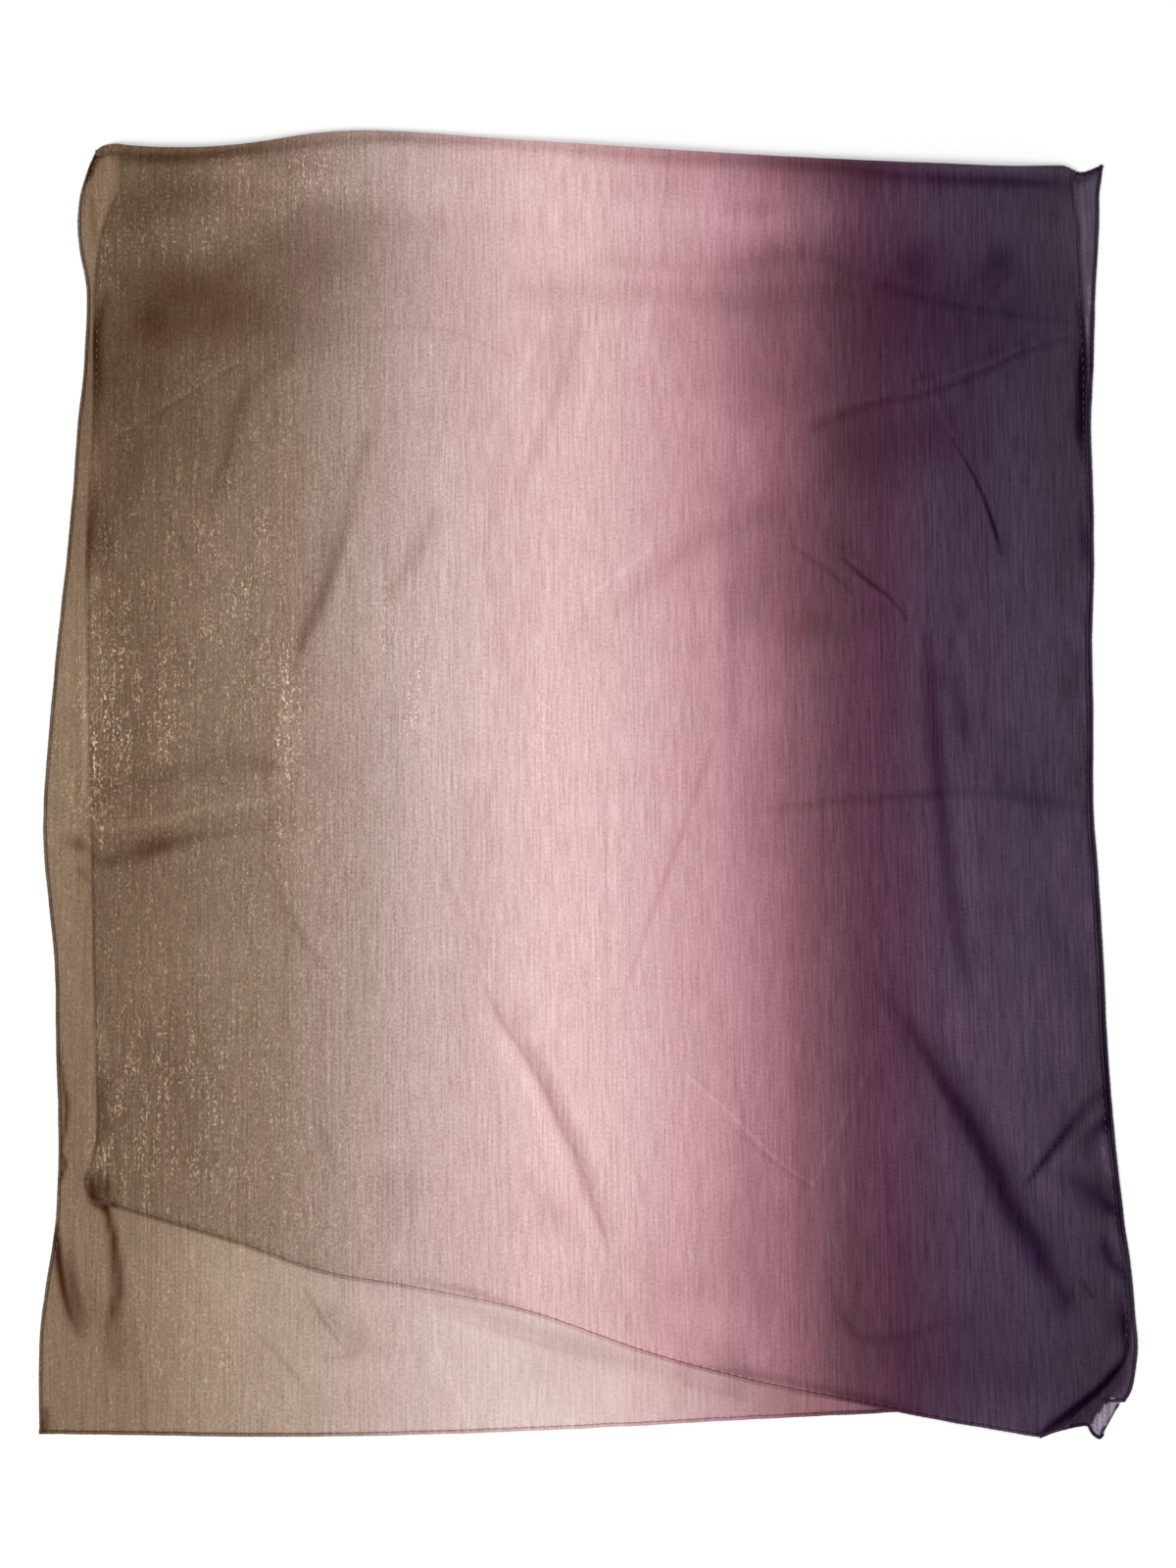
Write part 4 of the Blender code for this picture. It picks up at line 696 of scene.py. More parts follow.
def place_upper(x, s):
    """Points of the upper layer and the bend. s is y up to the seam, and then the way round the bend."""
    seam, run, reach, arc, middle, half = bend_shape(x)
    q = s - seam
    y, z = s.copy(), np.zeros(len(x))
    flat = q <= 0
    z[flat] = upper_z(x[flat], s[flat])
    top = (q > 0) & (q < run)
    z[top] = (middle + half)[top]
    round_it = (q >= run) & (q <= run + arc)
    turn = (math.pi * (0.5 - (q - run) / arc))[round_it]
    y[round_it] = (seam + run)[round_it] + reach[round_it] * np.cos(turn)
    z[round_it] = middle[round_it] + half[round_it] * np.sin(turn)
    under = q > run + arc
    y[under] = (seam + 2 * run + arc - q)[under]
    z[under] = LOWER_Z + 0.05
    return np.column_stack([x, y, z])


def place_lower(x, y):
    return np.column_stack([x, y, lower_z(x, y)])


# --------------------------------------------------------------- painted shade, light and glints, and the dye's place, held at each point
def painted_light_shade_of(strokes, pools, x, y):
    """Painted shade and painted light, as a factor: below 1 where shade is painted, above 1 where light is painted."""
    total = np.zeros(len(x))
    for line in strokes.values():
        which, k, d = near(line, x, y, 2.8 * line[:, 2].max())
        total[which] += np.log(1 + line[k, 3] * np.exp(-((d / line[k, 2]) ** 2)))
    for _, cx, cy, rx, ry, angle, amount in pools:
        total += np.log(1 + amount * pool(x, y, cx, cy, rx, ry, angle))
    return np.exp(2.2 * total)


def pool(x, y, cx, cy, rx, ry, angle):
    c, s = math.cos(math.radians(angle)), math.sin(math.radians(angle))
    a, b = (x - cx) * c + (y - cy) * s, -(x - cx) * s + (y - cy) * c
    return np.exp(-(((a / rx) ** 2 + (b / ry) ** 2) ** 1.3))


def painted_glints_of(x, y):
    # How many painted glints gather at each point.
    total = np.zeros(len(x))
    for _, cx, cy, rx, ry, angle, amount in PAINTED_GLINT_PATCHES:
        total += amount * pool(x, y, cx, cy, rx, ry, angle)
    return total


def across_of(x, y):
    """0 at the cloth's left edge, 1 at its right edge."""
    left = -343.0
    right = np.interp(y, [-436, 0, 450], [354, 343, 336])
    return (x - left) / (right - left)


# --------------------------------------------------------------- meshes
def inside(x, y, loop):
    found = np.zeros(len(x), bool)
    for (x0, y0), (x1, y1) in zip(loop, np.roll(loop, -1, axis=0)):
        if y0 == y1:
            continue
        spans = (y0 > y) != (y1 > y)
        found[spans] ^= x[spans] < x0 + (y[spans] - y0) * (x1 - x0) / (y1 - y0)
    return found


def scattered(loop, base, wanted):
    """Points of a square lattice inside the loop, finer where wanted(x, y) says: 0, 1 or 2 halvings."""
    step = base / 4
    low, high = loop.min(axis=0), loop.max(axis=0)
    nx, ny = (int((high[i] - low[i]) / step) + 2 for i in (0, 1))
    i, j = (a.ravel() for a in np.meshgrid(np.arange(nx), np.arange(ny)))
    x, y = low[0] + (i + 0.37) * step, low[1] + (j + 0.41) * step
    level = wanted(x, y)
    row = (j // 4) % 2
    keep = (i % 4 == 2 * row) & (j % 4 == 0)
    keep |= (level >= 1) & (i % 2 == 0) & (j % 2 == 0)
    keep |= level >= 2
    x, y, level = x[keep], y[keep], level[keep]
    room = inside(x, y, loop)
    x, y, level = x[room], y[room], level[room]
    clear = np.ones(len(x), bool)
    gap = base * np.array([0.42, 0.24, 0.16])
    for part in np.array_split(np.arange(len(x)), max(1, len(x) // 4000)):
        d = np.hypot(x[part, None] - loop[None, :, 0], y[part, None] - loop[None, :, 1]).min(axis=1)
        clear[part] = d > gap[level[part].astype(int)]
    return x[clear], y[clear]


def triangulated(loop, x, y):
    """The plan's points and its triangles, all turning left."""
    plan = np.vstack([loop, np.column_stack([x, y])])
    points, _, faces, *_ = delaunay_2d_cdt([Vector(p) for p in plan], [], [list(range(len(loop)))], 1, 1e-4)
    points = np.array([tuple(p) for p in points])
    faces = np.array([tuple(f) for f in faces if len(f) == 3])
    a, b, c = (points[faces[:, k]] for k in range(3))
    turn = (b - a)[:, 0] * (c - a)[:, 1] - (b - a)[:, 1] * (c - a)[:, 0]
    faces[turn < 0] = faces[turn < 0][:, ::-1]
    faces = faces[abs(turn) > 1e-5]
    used = np.unique(faces)
    index = np.full(len(points), -1)
    index[used] = np.arange(len(used))
    return points[used], index[faces]


def normals_of(points, faces):
    a, b, c = (points[faces[:, k]] for k in range(3))
    flat = np.cross(b - a, c - a)
    out = np.zeros_like(points)
    for k in range(3):
        np.add.at(out, faces[:, k], flat)
    return out / np.maximum(np.linalg.norm(out, axis=1), 1e-12)[:, None]


def mesh_object(name, points, faces, layers, uv=None):
    """A smooth mesh object from points in the tables' millimetres, with a value of each layer at each point."""
    mesh = bpy.data.meshes.new(name)
    place = (np.asarray(points, float) - (MIDDLE_X, MIDDLE_Y, 0)) * MM
    mesh.from_pydata(place.tolist(), [], [tuple(map(int, f)) for f in faces])
    for layer, values in layers.items():
        mesh.attributes.new(layer, "FLOAT", "POINT").data.foreach_set("value", np.asarray(values, np.float32))
    if uv is not None:
        corners = np.empty(len(mesh.loops), np.int32)
        mesh.loops.foreach_get("vertex_index", corners)
        mesh.uv_layers.new(name="weave").data.foreach_set("uv", np.asarray(uv, np.float32)[corners].ravel())
    mesh.shade_smooth()
    mesh.set_sharp_from_angle(angle=math.radians(62))
    obj = bpy.data.objects.new(name, mesh)
    bpy.context.scene.collection.objects.link(obj)
    return obj


def shell(name, plan, faces, points, layers, uv, thick=THICK):
    """A thin closed shell, half its thickness each side of a sheet."""
    n = len(points)
    out = normals_of(points, faces) * thick / 2
    both = np.vstack([points + out, points - out])
    pairs = np.concatenate([faces[:, [0, 1]], faces[:, [1, 2]], faces[:, [2, 0]]])
    key = pairs[:, 0] * n + pairs[:, 1]
    rim = pairs[~np.isin(key, pairs[:, 1] * n + pairs[:, 0])]
    every = [tuple(f) for f in faces] + [tuple(f[::-1] + n) for f in faces]
    every += [(j, i, i + n, j + n) for i, j in rim]
    return mesh_object(name, both, every, {k: np.tile(v, 2) for k, v in layers.items()}, np.vstack([uv, uv]))


def levels_for(strokes, heights, folds, extra, soft=3.6, crisp=2.7):
    """How fine the lattice must be at a point, for strokes of these half widths or less."""

    def wanted(x, y):
        level = np.zeros(len(x), np.int8)
        for _, x0, y0, x1, y1, bow, half, rise in folds:
            t = np.linspace(0, 1, 40)
            length = math.hypot(x1 - x0, y1 - y0)
            dx, dy = (x1 - x0) / length, (y1 - y0) / length
            s = 4 * bow * t * (1 - t)
            line = np.column_stack([x0 + t * length * dx - s * dy, y0 + t * length * dy + s * dx])
            which, _, _ = near(line, x, y, half + 1.5)
            level[which] = 1
        for name, line in strokes.items():
            half = line[:, 2].max()
            if name in heights or half < soft:
                which, _, _ = near(line, x, y, 1.9 * half + 1.2)
                level[which] = np.maximum(level[which], 1)
            if half < crisp:
                which, _, _ = near(line, x, y, 1.5 * half + 0.5)
                level[which] = 2
        return np.maximum(level, extra(x, y))

    return wanted


def uv_of(x, s):
    return np.column_stack([across_of(x, np.minimum(s, 450)) * WIDTH, (s + 440) * MM])


def upper_loop():
    """The plan of the upper layer and the bend, where y is the way along the cloth."""
    inset = 1.3
    left = moved_in(smooth_line(UPPER_LEFT, 2.6), inset)
    front = moved_in(smooth_line(UPPER_END, 2.6), inset)
    right = moved_in(smooth_line(UPPER_RIGHT[::-1], 2.6), inset)
    over = smooth_line(OVER_LEFT, 1.6)
    x = np.array([over[-1, 0], *np.full(8, LEFT_TIP + 1.0)])
    share = np.linspace((over[-1, 1] - seam_y(x[0])) / bend_length(x[0]), 1, 9)
    start = np.vstack([over, np.column_stack([x, seam_y(x) + share * bend_length(x)])[1:]])[::-1]
    t = np.linspace(0, 1, 14)
    x = np.interp(t, *zip(*BEND_RIGHT)) - inset * 0.8
    end = np.column_stack([x, seam_y(x) + t * bend_length(x)])
    x = np.arange(end[-1, 0] - 2.6, start[0, 0] + 1.5, -2.6)
    top = np.column_stack([x, seam_y(x) + bend_length(x)])
    loop = np.vstack([start, left, front[1:-1], right, end, top])
    steps = np.linalg.norm(loop - np.roll(loop, 1, axis=0), axis=1)
    return loop[steps > 0.7], start, left, right, end


def lower_loop():
    inset = 1.3
    left = moved_in(smooth_line(LOWER_LEFT, 2.6), inset)
    front = moved_in(smooth_line(LOWER_END, 2.6), inset)
    right = moved_in(smooth_line(LOWER_RIGHT[::-1], 2.6), inset)
    tip = moved_in(smooth_line(LOWER_TIP, 2.0), 0.8)
    x = np.arange(tip[-1, 0] - 0.5, LEFT_TIP + 2, -5.2)
    # Left of the upper layer's edge it runs on under the bend, almost to the fold.
    reach = np.interp(x, [-324, -318], [1.0, 0.0])
    top = np.column_stack([x, seam_y(x) + 0.8 + reach * np.maximum(fold_y(x) - seam_y(x) - 2.6, 0)])
    loop = np.vstack([left, front[1:-1], right, tip[1:], top])
    steps = np.linalg.norm(loop - np.roll(loop, 1, axis=0), axis=1)
    return loop[steps > 0.7], left, right


# --------------------------------------------------------------- hems
def bead(name, path, wide, high, lift, thick_noise=0.1, seed=0.0, closed_ends=True):
    """A rolled hem: a soft, slightly uneven bead along a path, with the puckers of its stitching."""
    steps = np.linalg.norm(np.diff(path, axis=0), axis=1)
    reach = np.concatenate([[0], np.cumsum(steps)])
    ahead = np.gradient(path, axis=0)
    ahead /= np.maximum(np.linalg.norm(ahead, axis=1), 1e-9)[:, None]
    side = np.column_stack([-ahead[:, 1], ahead[:, 0], np.zeros(len(path))])
    size = np.linalg.norm(side, axis=1)
    for i in range(len(path)):
        if size[i] < 0.25 and i:
            side[i] = side[i - 1]
        else:
            side[i] /= max(size[i], 1e-9)
    up = np.cross(ahead, side)
    up[up[:, 2] < -0.2] *= -1
    ring, verts, painted_light_shade = 10, [], []
    for i, p in enumerate(path):
        puff = 1 + thick_noise * (
            0.8 * noise.noise(Vector((reach[i] / 7, seed, 0.5))) + 0.6 * math.cos(2 * math.pi * reach[i] / 4.6)
        )
        sway = 0.22 * noise.noise(Vector((reach[i] / 15, seed + 9, 2.5)))
        for k in range(ring):
            a = 2 * math.pi * k / ring
            verts.append(
                p
                + side[i] * (wide * puff * math.cos(a) + sway)
                + up[i] * (high * puff * math.sin(a))
                + np.array([0, 0, lift])
            )
        painted_light_shade += [1.0] * ring
    faces = []
    for i in range(len(path) - 1):
        for k in range(ring):
            m = (k + 1) % ring
            faces.append((i * ring + k, i * ring + m, (i + 1) * ring + m, (i + 1) * ring + k))
    faces.append(tuple(reversed(range(ring))))
    faces.append(tuple((len(path) - 1) * ring + k for k in range(ring)))
    verts = np.array(verts)
    # The faces look outwards, whichever way the ring turned.
    first = faces[len(faces) // 2]
    a, b, c = (verts[first[k]] for k in range(3))
    if np.dot(np.cross(b - a, c - a), a - path[first[0] // ring]) < 0:
        faces = [f[::-1] for f in faces]
    return verts, faces, reach


def hem_object(name, path, wide, high, lift, strokes, pools, seed, inner_shade, outer_shade, shade_share_by_height=()):
    """A hem, with the cloth's painted shade and light. Its two shade factors say how dark the painted shade in the
    crease is on the cloth's side and on the far side. The height list gives, by height on the table, how much of that
    painted shade shows; below 0 it gives painted light and glints."""
    verts, faces, reach = bead(name, path, wide, high, lift, seed=seed)
    verts[:, 2] = np.maximum(verts[:, 2], 0.02)
    # The cloth's painted shade and light, softened on the hem.
    painted_light_shade = painted_light_shade_of(strokes, pools, verts[:, 0], verts[:, 1]) ** 0.6
    painted_light_share = np.zeros(len(verts))
    if shade_share_by_height:
        share = np.interp(-verts[:, 1], [-y for y, _ in shade_share_by_height], [k for _, k in shade_share_by_height])
        inner_shade, outer_shade = inner_shade * np.maximum(share, 0), outer_shade * np.maximum(share, 0)
        painted_light_share = np.maximum(-share, 0)
    # Painted shade darkens the bead's sides, and painted light and glints brighten it where the share is below 0.
    side = np.cos(2 * math.pi * (np.arange(len(verts)) % 10) / 10)
    painted_light_shade = painted_light_shade * (1 - inner_shade * np.clip(side * 1.6 - 0.3, 0, 1)) * (1 - outer_shade * np.clip(-side * 1.6 - 0.3, 0, 1))
    painted_light_shade = painted_light_shade * (1 + 0.38 * painted_light_share)
    painted_glints = painted_light_share * (painted_glints_of(verts[:, 0], verts[:, 1]) + 0.3)
    uv = uv_of(verts[:, 0], np.minimum(verts[:, 1], 470))
    layers = {"across": across_of(verts[:, 0], verts[:, 1]), "painted_light_shade": painted_light_shade, "painted_glints": painted_glints}
    obj = mesh_object(name, verts, faces, layers, uv)
    return obj


def path_on(plan, place):
    """The plan line's points on the cloth."""
    return place(plan[:, 0].copy(), plan[:, 1].copy())


def resampled(path, step):
    steps = np.linalg.norm(np.diff(path, axis=0), axis=1)
    reach = np.concatenate([[0], np.cumsum(steps)])
    at = np.linspace(0, reach[-1], max(2, round(reach[-1] / step) + 1))
    return np.column_stack([np.interp(at, reach, path[:, k]) for k in range(path.shape[1])])


def stitches(name, runs):
    """Short hand stitches as small capsules. Each run is (path, sideways, lift, pitch, length, seed)."""
    verts, faces = [], []
    for path, sideways, lift, pitch, length, seed in runs:
        path = resampled(path, 0.5)
        ahead = np.gradient(path, axis=0)
        ahead /= np.linalg.norm(ahead, axis=1)[:, None]
        side = np.column_stack([-ahead[:, 1], ahead[:, 0], np.zeros(len(path))])
        side /= np.maximum(np.linalg.norm(side, axis=1), 1e-9)[:, None]
        s = pitch
        number = 0
        while s < 0.5 * len(path) - pitch:
            number += 1
            wobble = noise.noise(Vector((number * 0.73, seed, 1.5)))
            half = length * (0.5 + 0.18 * wobble)
            i = int(s / 0.5)
            lean = 0.25 * noise.noise(Vector((number * 1.37, seed, 4.5)))
            direction = ahead[i] + side[i] * lean
            direction /= np.linalg.norm(direction)
            middle = path[i] + side[i] * (sideways + 0.12 * wobble) + np.array([0, 0, lift])
            across = np.cross(direction, (0, 0, 1.0))
            across /= np.linalg.norm(across)
            up = np.cross(across, direction)
            base = len(verts)
            for along, r in ((-1, 0.05), (-0.8, 0.15), (0, 0.19), (0.8, 0.15), (1, 0.05)):
                for k in range(6):
                    a = math.pi * k / 3
                    dip = -0.16 * along * along
                    verts.append(
                        middle + direction * along * half + across * r * math.cos(a) + up * (r * math.sin(a) + dip)
                    )
            for j in range(4):
                for k in range(6):
                    m = (k + 1) % 6
                    faces.append((base + j * 6 + k, base + (j + 1) * 6 + k, base + (j + 1) * 6 + m, base + j * 6 + m))
            faces.append(tuple(base + k for k in range(6)))
            faces.append(tuple(base + 24 + k for k in reversed(range(6))))
            s += pitch * (1 + 0.25 * wobble)
    verts = np.array(verts)
    layers = {
        "across": across_of(verts[:, 0], verts[:, 1]),
        "painted_light_shade": np.ones(len(verts)),
        "painted_glints": np.zeros(len(verts)),
    }
    return mesh_object(name, verts, faces, layers, uv_of(verts[:, 0], verts[:, 1]))


# --------------------------------------------------------------- materials
def linear(value):
    value /= 255
    return value / 12.92 if value <= 0.04045 else ((value + 0.055) / 1.055) ** 2.4


class Nodes:
    """A short way to write a material's nodes."""

    def __init__(self, name):
        self.material = bpy.data.materials.new(name)
        self.material.use_nodes = True
        self.tree = self.material.node_tree
        self.shader = self.tree.nodes["Principled BSDF"]
        self.place = 0

    def add(self, kind, settings=(), **inputs):
        node = self.tree.nodes.new(kind)
        self.place += 1
        node.location = (-220 * (self.place % 9) - 300, -260 * (self.place // 9))
        for key, value in dict(settings).items():
            setattr(node, key, value)
        for key, value in inputs.items():
            self.put(node.inputs[key.replace("_", " ")], value)
        return node

    def put(self, socket, value):
        if isinstance(value, bpy.types.NodeSocket):
            self.tree.links.new(value, socket)
        else:
            socket.default_value = value

    def math(self, operation, a, b=0.0, c=0.0):
        node = self.add("ShaderNodeMath", {"operation": operation})
        for socket, value in zip(node.inputs, (a, b, c)):
            self.put(socket, value)
        return node.outputs[0]

    def attribute(self, name):
        node = self.add("ShaderNodeAttribute", {"attribute_name": name})
        return node.outputs["Fac"]

    def noise(self, vector, scale=1.0, detail=2.0, rough=0.5):
        node = self.add("ShaderNodeTexNoise", {"noise_dimensions": "2D"}, Vector=vector, Scale=scale, Detail=detail, Roughness=rough)
        return node.outputs["Fac"]

    def stretched(self, u, v, across, along, shift=0.0):
        """A vector with this many steps a metre across and along the cloth."""
        node = self.add("ShaderNodeCombineXYZ")
        self.put(node.inputs[0], self.math("MULTIPLY_ADD", u, across, shift))
        self.put(node.inputs[1], self.math("MULTIPLY_ADD", v, along, shift * 1.7))
        return node.outputs[0]

    def smooth(self, value, low, high, out_low=0.0, out_high=1.0):
        node = self.add("ShaderNodeMapRange", {"interpolation_type": "SMOOTHSTEP"})
        for socket, v in zip(node.inputs, (value, low, high, out_low, out_high)):
            self.put(socket, v)
        return node.outputs[0]

    def scaled(self, colour, factor):
        node = self.add("ShaderNodeVectorMath", {"operation": "SCALE"})
        self.put(node.inputs[0], colour)
        self.put(node.inputs["Scale"], factor)
        return node.outputs[0]

    def add_vectors(self, a, b):
        node = self.add("ShaderNodeVectorMath", {"operation": "ADD"})
        self.put(node.inputs[0], a)
        self.put(node.inputs[1], b)
        return node.outputs[0]

    def mix(self, factor, a, b, blend="MIX"):
        node = self.add("ShaderNodeMix", {"data_type": "RGBA", "blend_type": blend})
        self.put(node.inputs["Factor"], factor)
        self.put(node.inputs[6], a)
        self.put(node.inputs[7], b)
        return node.outputs[2]


def cloth_material(name, dye=DYE, gain=1.0, silver=0.0, streak=1.0, fleck=1.0, bump=1.0, rough=0.62, sheen=0.07):
    """The dyed cloth: its colour across, uneven threads down its length, faint weft, metallic flecks painted as glints,
    and the painted shade and light of its folds.
    """
    n = Nodes(name)
    uv = n.add("ShaderNodeUVMap", {"uv_map": "weave"}).outputs["UV"]
    split = n.add("ShaderNodeSeparateXYZ")
    n.put(split.inputs[0], uv)
    u, v = split.outputs[0], split.outputs[1]

    # The dye, which bleeds a little unevenly along the threads.
    bleed = n.noise(n.stretched(u, v, 70, 5), 1.0, 3.0, 0.55)
    where = n.math("MULTIPLY_ADD", n.math("SUBTRACT", bleed, 0.5), 0.022, n.attribute("across"))
    ramp = n.add("ShaderNodeValToRGB")
    bands = ramp.color_ramp
    bands.interpolation = "CARDINAL"
    while len(bands.elements) < len(dye):
        bands.elements.new(0.5)
    for element, (at, r, g, b) in zip(bands.elements, dye):
        element.position = at
        colour = np.maximum(np.array([linear(r), linear(g), linear(b)]) - SURFACE_SHINE, 0.004) / LIGHT_ON_CLOTH
        grey = colour.mean()
        colour = (colour * (1 - silver) + (grey * 1.15 + 0.05) * silver) * gain
        element.color = (*colour, 1)
    n.put(ramp.inputs[0], where)
    colour = ramp.outputs[0]

    across = n.attribute("across")
    plum = n.smooth(across, 0.62, 0.85)
    taupe = n.smooth(across, 0.46, 0.16)

    # Warm and cool streaks, where threads of both colours cross, and the flecks lighten the taupe end.
    blotch = n.noise(n.stretched(u, v, 24, 3.5, 3.0), 1.0, 2.0, 0.5)
    thread = n.noise(n.stretched(u, v, 430, 36, 3.5), 1.0, 0.0, 0.5)
    blotch = n.math("MULTIPLY_ADD", n.math("SUBTRACT", thread, 0.5), 0.55, blotch)
    warm = n.mix(n.smooth(blotch, 0.35, 0.68), (0.838, 0.868, 0.838, 1), (0.888, 0.852, 0.848, 1))
    colour = n.mix(taupe, colour, n.mix(1.0, colour, warm, "MULTIPLY"))

    # Threads: thin lines down the cloth, long and short, a fairly even set of ribs, and a faint weft across it.
    long_lines = n.noise(n.stretched(u, v, 610, 7, 5.0), 1.0, 1.0, 0.5)
    lines = n.noise(n.stretched(u, v, 640, 44), 1.0, 0.0, 0.5)
    fine = n.noise(n.stretched(u, v, 680, 560, 4.0), 1.0, 0.0, 0.5)
    wide = n.noise(n.stretched(u, v, 110, 6, 8.0), 1.0, 2.0, 0.5)
    weft = n.noise(n.stretched(u, v, 260, 620, 2.0), 1.0, 0.0, 0.5)
    sway = n.noise(n.stretched(u, v, 26, 3, 7.0), 1.0, 1.0, 0.5)
    ribs = n.math("SINE", n.math("MULTIPLY_ADD", sway, 16.0, n.math("MULTIPLY", u, 2 * math.pi * 352)))
    ribs = n.math("MULTIPLY", ribs, n.noise(n.stretched(u, v, 90, 16, 9.0), 1.0, 1.0, 0.5))
    long = n.math("MULTIPLY", n.math("SUBTRACT", long_lines, 0.5), 0.32 * streak)
    long = n.math("MULTIPLY_ADD", ribs, 0.034, long)
    long = n.math("MULTIPLY_ADD", n.math("SUBTRACT", wide, 0.5), 0.09, long)
    long = n.math("MULTIPLY", long, n.math("MULTIPLY_ADD", plum, 1.55, n.math("MULTIPLY_ADD", taupe, 0.6, 0.62)))
    short = n.math("MULTIPLY", n.math("SUBTRACT", lines, 0.5), 0.43 * streak)
    short = n.math("MULTIPLY", short, n.math("MULTIPLY_ADD", plum, 1.0, n.math("MULTIPLY_ADD", taupe, 0.1, 0.76)))
    grains = n.math("MULTIPLY", n.math("SUBTRACT", fine, 0.5), 0.34 * streak)
    grains = n.math("MULTIPLY_ADD", n.math("SUBTRACT", weft, 0.5), 0.10, grains)
    cells = n.add("ShaderNodeTexVoronoi", {"voronoi_dimensions": "2D", "feature": "F1"}, Scale=1.0, Randomness=1.0)
    n.put(cells.inputs["Vector"], n.stretched(u, v, 930, 640))
    pick = n.add("ShaderNodeSeparateColor")
    n.put(pick.inputs[0], cells.outputs["Color"])
    grains = n.math("MULTIPLY_ADD", n.math("SUBTRACT", pick.outputs[2], 0.5), 0.12 * streak, grains)
    grains = n.math("MULTIPLY", grains, n.math("MULTIPLY_ADD", plum, 0.55, n.math("MULTIPLY_ADD", taupe, 0.75, 0.78)))
    long = n.math("ADD", long, short)
    factor = n.math("ADD", 1.0, n.math("ADD", long, grains))

    # Grains of metallic thread, painted into the colour as bright glints: thickest where the glint patches say the
    # cloth catches the light, thinner all over the taupe end.
    painted_glints = n.attribute("painted_glints")
    cluster = n.smooth(n.noise(n.stretched(u, v, 150, 26, 1.0), 1.0, 2.0, 0.6), 0.34, 0.66, 0.45, 1.0)
    column = n.smooth(n.noise(n.stretched(u, v, 400, 20, 2.5), 1.0, 0.0, 0.5), 0.34, 0.62, 0.3, 1.15)
    amount = n.math("MULTIPLY", n.math("MULTIPLY_ADD", painted_glints, 0.95, n.math("MULTIPLY_ADD", taupe, 0.33, 0.02)), cluster)
    amount = n.math("MULTIPLY", amount, column)
    grain = n.noise(n.stretched(u, v, 1290, 1120, 6.0), 1.0, 0.0, 0.5)
    dashes = n.noise(n.stretched(u, v, 660, 120, 6.5), 1.0, 0.0, 0.5)
    factor = n.math("MULTIPLY", factor, n.math("SUBTRACT", 1.0, n.math("MULTIPLY", amount, 0.26 * fleck)))
    glint_light = n.math("MULTIPLY_ADD", n.smooth(dashes, 0.54, 0.76), 0.25, n.math("MULTIPLY", n.smooth(grain, 0.5, 0.74), 0.4))
    glint_light = n.math("MULTIPLY_ADD", n.smooth(pick.outputs[1], 0.7, 1.0), 1.0, glint_light)
    glint_light = n.math("MULTIPLY", glint_light, n.math("MULTIPLY", amount, 1.25 * fleck))
    # A few brighter painted glints stand out.
    bright_glint = n.math("MULTIPLY", n.smooth(pick.outputs[0], 0.93, 0.99), n.smooth(cells.outputs["Distance"], 0.45, 0.15))
    glint_light = n.math("MULTIPLY_ADD", bright_glint, n.math("MULTIPLY", amount, 1.5 * fleck), glint_light)
    glint_colour = n.mix(0.45, colour, (0.61, 0.475, 0.35, 1))
    painted_glint = n.scaled(glint_colour, n.math("MULTIPLY", glint_light, 0.8))

    # Where painted shade or a dark thread darkens the cloth its dye looks deeper, and paler where painted light or a
    # light thread brightens it.
    painted_light_shade = n.attribute("painted_light_shade")
    total = n.math("MULTIPLY", factor, painted_light_shade)
    parts = n.add("ShaderNodeSeparateColor")
    n.put(parts.inputs[0], colour)
    level = n.math("MULTIPLY_ADD", parts.outputs[1], 0.5, n.math("MULTIPLY", parts.outputs[0], 0.5))
    deep = n.mix(1.0, colour, colour, "MULTIPLY")
    deep = n.scaled(deep, n.math("DIVIDE", 1.0, n.math("MAXIMUM", level, 0.02)))
    share = n.math("MINIMUM", n.math("MAXIMUM", n.math("SUBTRACT", 1.0, total), -0.25), 0.75)
    richer = n.math("MULTIPLY_ADD", n.smooth(across, 0.54, 0.68), -0.85, n.math("MULTIPLY_ADD", taupe, -0.6, 1.15))
    richer = n.math("MULTIPLY_ADD", n.math("MULTIPLY", taupe, n.smooth(painted_light_shade, 0.75, 0.3)), 0.75, richer)
    richer = n.math("MULTIPLY_ADD", n.math("MULTIPLY", plum, n.smooth(painted_light_shade, 0.85, 0.4)), 0.95, richer)
    share = n.math("MULTIPLY", share, richer)
    colour = n.add_vectors(n.scaled(colour, n.math("SUBTRACT", 1.0, share)), n.scaled(deep, share))
    colour = n.scaled(colour, total)
    # Painted glints fade where shade is painted.
    painted_glint = n.scaled(painted_glint, n.smooth(painted_light_shade, 0.35, 0.95, 0.15, 1.0))
    top = n.add("ShaderNodeVectorMath", {"operation": "MINIMUM"})
    n.put(top.inputs[0], n.add_vectors(colour, painted_glint))
    top.inputs[1].default_value = (0.92, 0.92, 0.92)
    n.put(n.shader.inputs["Base Color"], top.outputs[0])

    n.put(n.shader.inputs["Roughness"], n.math("SUBTRACT", rough + 0.08, n.math("MULTIPLY", lines, 0.16)))
    # Specular and sheen follow the painted shade: deep in a crease little light glances off the threads.
    n.put(n.shader.inputs["Specular IOR Level"], n.smooth(painted_light_shade, 0.1, 0.6, 0.02, 0.15))
    n.put(n.shader.inputs["Sheen Weight"], n.smooth(painted_light_shade, 0.1, 0.6, 0.01, sheen))
    n.shader.inputs["Sheen Roughness"].default_value = 0.45
    n.shader.inputs["Sheen Tint"].default_value = (0.9, 0.85, 0.84, 1)
    relief = n.add("ShaderNodeBump", Strength=0.35 * bump, Distance=0.0004)
    n.put(relief.inputs["Height"], factor)
    n.put(n.shader.inputs["Normal"], relief.outputs[0])
    return n.material


